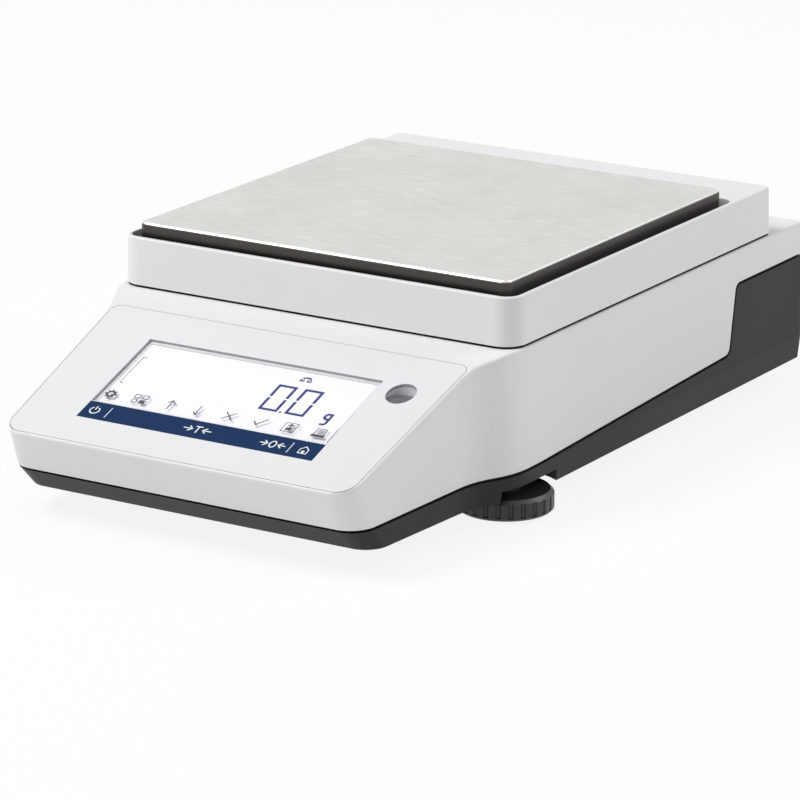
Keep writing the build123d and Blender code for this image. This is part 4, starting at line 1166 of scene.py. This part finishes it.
def set_camera(stage):
    """Create the camera."""
    data = bpy.data.cameras.new("studio_camera")
    data.sensor_width = SENSOR_WIDTH
    data.lens = stage.focal * SENSOR_WIDTH
    data.clip_end = CAMERA_REACH
    camera = bpy.data.objects.new("studio_camera", data)
    camera.matrix_world = camera_pose(stage)
    bpy.context.scene.collection.objects.link(camera)
    bpy.context.scene.camera = camera


def soft_lamp(name, place, width, watts):
    """Large square lamp aimed at the balance."""
    data = bpy.data.lights.new(name, "AREA")
    data.shape = "SQUARE"
    data.size = width
    data.energy = watts
    lamp = bpy.data.objects.new(name, data)
    lamp.location = place
    lamp.rotation_euler = (Vector(place) - LAMP_AIM).to_track_quat("Z", "Y").to_euler()
    bpy.context.scene.collection.objects.link(lamp)


def seen_directly(tree):
    """1 for rays from the camera, off gloss or through glass; 0 for the light that falls on things."""
    path = add(tree, "ShaderNodeLightPath").outputs
    glossy_or_clear = {0: path["Is Glossy Ray"], 1: path["Is Transmission Ray"]}
    mirrored = add(tree, "ShaderNodeMath", glossy_or_clear, operation="MAXIMUM")
    camera_or_mirrored = {0: path["Is Camera Ray"], 1: mirrored.outputs[0]}
    return add(tree, "ShaderNodeMath", camera_or_mirrored, operation="MAXIMUM").outputs[0]


def set_world(stage):
    """Even pale studio light; the background itself is seen as white."""
    world = bpy.data.worlds.new("studio_world")
    world.use_nodes = True
    tree = world.node_tree
    tree.nodes.clear()
    ambient = add(tree, "ShaderNodeBackground", {"Color": linear("#ffffff"), "Strength": stage.ambient})
    white = add(tree, "ShaderNodeBackground", {"Color": linear("#ffffff"), "Strength": 1.0})
    mixed = add(
        tree, "ShaderNodeMixShader", {0: seen_directly(tree), 1: ambient.outputs[0], 2: white.outputs[0]}
    )
    add(tree, "ShaderNodeOutputWorld", {"Surface": mixed.outputs[0]})
    bpy.context.scene.world = world


def studio_paint(stage):
    """Matt studio paint: nearly white where it is seen, with the object's soft shadow kept."""
    material, tree = empty_material("studio_floor_matt_paint")
    place = add(tree, "ShaderNodeTexCoord").outputs["Object"]
    nap = add(tree, "ShaderNodeTexNoise", {"Vector": place, "Scale": 1 / (2 * MM), "Detail": 2.0})
    bump = add(tree, "ShaderNodeBump", {"Height": nap.outputs["Fac"], "Distance": 0.05 * MM})
    paint = add(tree, "ShaderNodeBsdfDiffuse", {"Color": stage.floor, "Normal": bump.outputs["Normal"]})
    glow = add(tree, "ShaderNodeEmission", {"Color": linear("#ffffff"), "Strength": 1.0})
    share = add(tree, "ShaderNodeMath", {0: seen_directly(tree), 1: FLOOR_GLOW}, operation="MULTIPLY")
    shader = add(
        tree, "ShaderNodeMixShader", {0: share.outputs[0], 1: paint.outputs[0], 2: glow.outputs[0]}
    )
    add(tree, "ShaderNodeOutputMaterial", {"Surface": shader.outputs[0]})
    return material


def set_floor(stage):
    """Wide floor that curves up into a backdrop well behind the balance."""
    profile = [(-FLOOR_HALF, 0.0)]
    for i in range(BEND_STEPS + 1):
        a = i / BEND_STEPS * pi / 2
        y = FLOOR_HALF - BACKDROP_BEND + BACKDROP_BEND * sin(a)
        profile.append((y, BACKDROP_BEND - BACKDROP_BEND * cos(a)))
    profile.append((FLOOR_HALF, BACKDROP_TOP))
    bm = bmesh.new()
    rows = [[bm.verts.new((x, y, z)) for x in (-FLOOR_HALF, FLOOR_HALF)] for y, z in profile]
    for (a, b), (c, d) in zip(rows, rows[1:]):
        bm.faces.new((a, b, d, c))
    mesh = bpy.data.meshes.new("studio_floor")
    bm.to_mesh(mesh)
    bm.free()
    for polygon in mesh.polygons:
        polygon.use_smooth = True
    mesh.materials.append(studio_paint(stage))
    floor = bpy.data.objects.new("studio_floor", mesh)
    bpy.context.scene.collection.objects.link(floor)


class BALANCE_OT_stage(bpy.types.Operator):
    """Set up the camera, the lamps, the world and the floor"""

    bl_idname = "balance.stage"
    bl_label = "Studio"

    def execute(self, context):
        scene = context.scene
        stage = scene.balance_stage
        set_camera(stage)
        set_world(stage)
        set_floor(stage)
        soft_lamp("key_lamp", KEY_PLACE, KEY_WIDTH, stage.key)
        soft_lamp("fill_lamp", FILL_PLACE, FILL_WIDTH, stage.fill)
        scene.view_settings.view_transform = "Standard"
        return {"FINISHED"}


OPERATORS = (
    BALANCE_OT_shells,
    BALANCE_OT_pan,
    BALANCE_OT_console,
    BALANCE_OT_reading,
    BALANCE_OT_symbols,
    BALANCE_OT_level,
    BALANCE_OT_feet,
    BALANCE_OT_works,
    BALANCE_OT_stage,
)


class BALANCE_PT_panel(bpy.types.Panel):
    """Lists the steps that dress the balance, and their sizes and colours"""

    bl_idname = "BALANCE_PT_panel"
    bl_label = "Balance"
    bl_space_type = "VIEW_3D"
    bl_region_type = "UI"
    bl_category = "Balance"

    def draw(self, context):
        for operator in OPERATORS:
            self.layout.operator(operator.bl_idname)
        for group in ("balance_finish", "balance_marks", "balance_stage"):
            values = getattr(context.scene, group)
            box = self.layout.box()
            for name in values.bl_rna.properties.keys():
                if name not in ("rna_type", "name"):
                    box.prop(values, name)


CLASSES = (BalanceFinish, BalanceMarks, BalanceStage, *OPERATORS, BALANCE_PT_panel)


def register():
    """Register the classes and hang the settings on the scene."""
    for item in CLASSES:
        bpy.utils.register_class(item)
    bpy.types.Scene.balance_finish = PointerProperty(type=BalanceFinish)
    bpy.types.Scene.balance_marks = PointerProperty(type=BalanceMarks)
    bpy.types.Scene.balance_stage = PointerProperty(type=BalanceStage)


def unregister():
    """Take the settings and the classes away again."""
    del bpy.types.Scene.balance_stage
    del bpy.types.Scene.balance_marks
    del bpy.types.Scene.balance_finish
    for item in reversed(CLASSES):
        bpy.utils.unregister_class(item)


def main():
    """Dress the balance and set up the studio."""
    register()
    for operator in OPERATORS:
        group, name = operator.bl_idname.split(".")
        getattr(getattr(bpy.ops, group), name)()


if __name__ == "__main__":
    main()
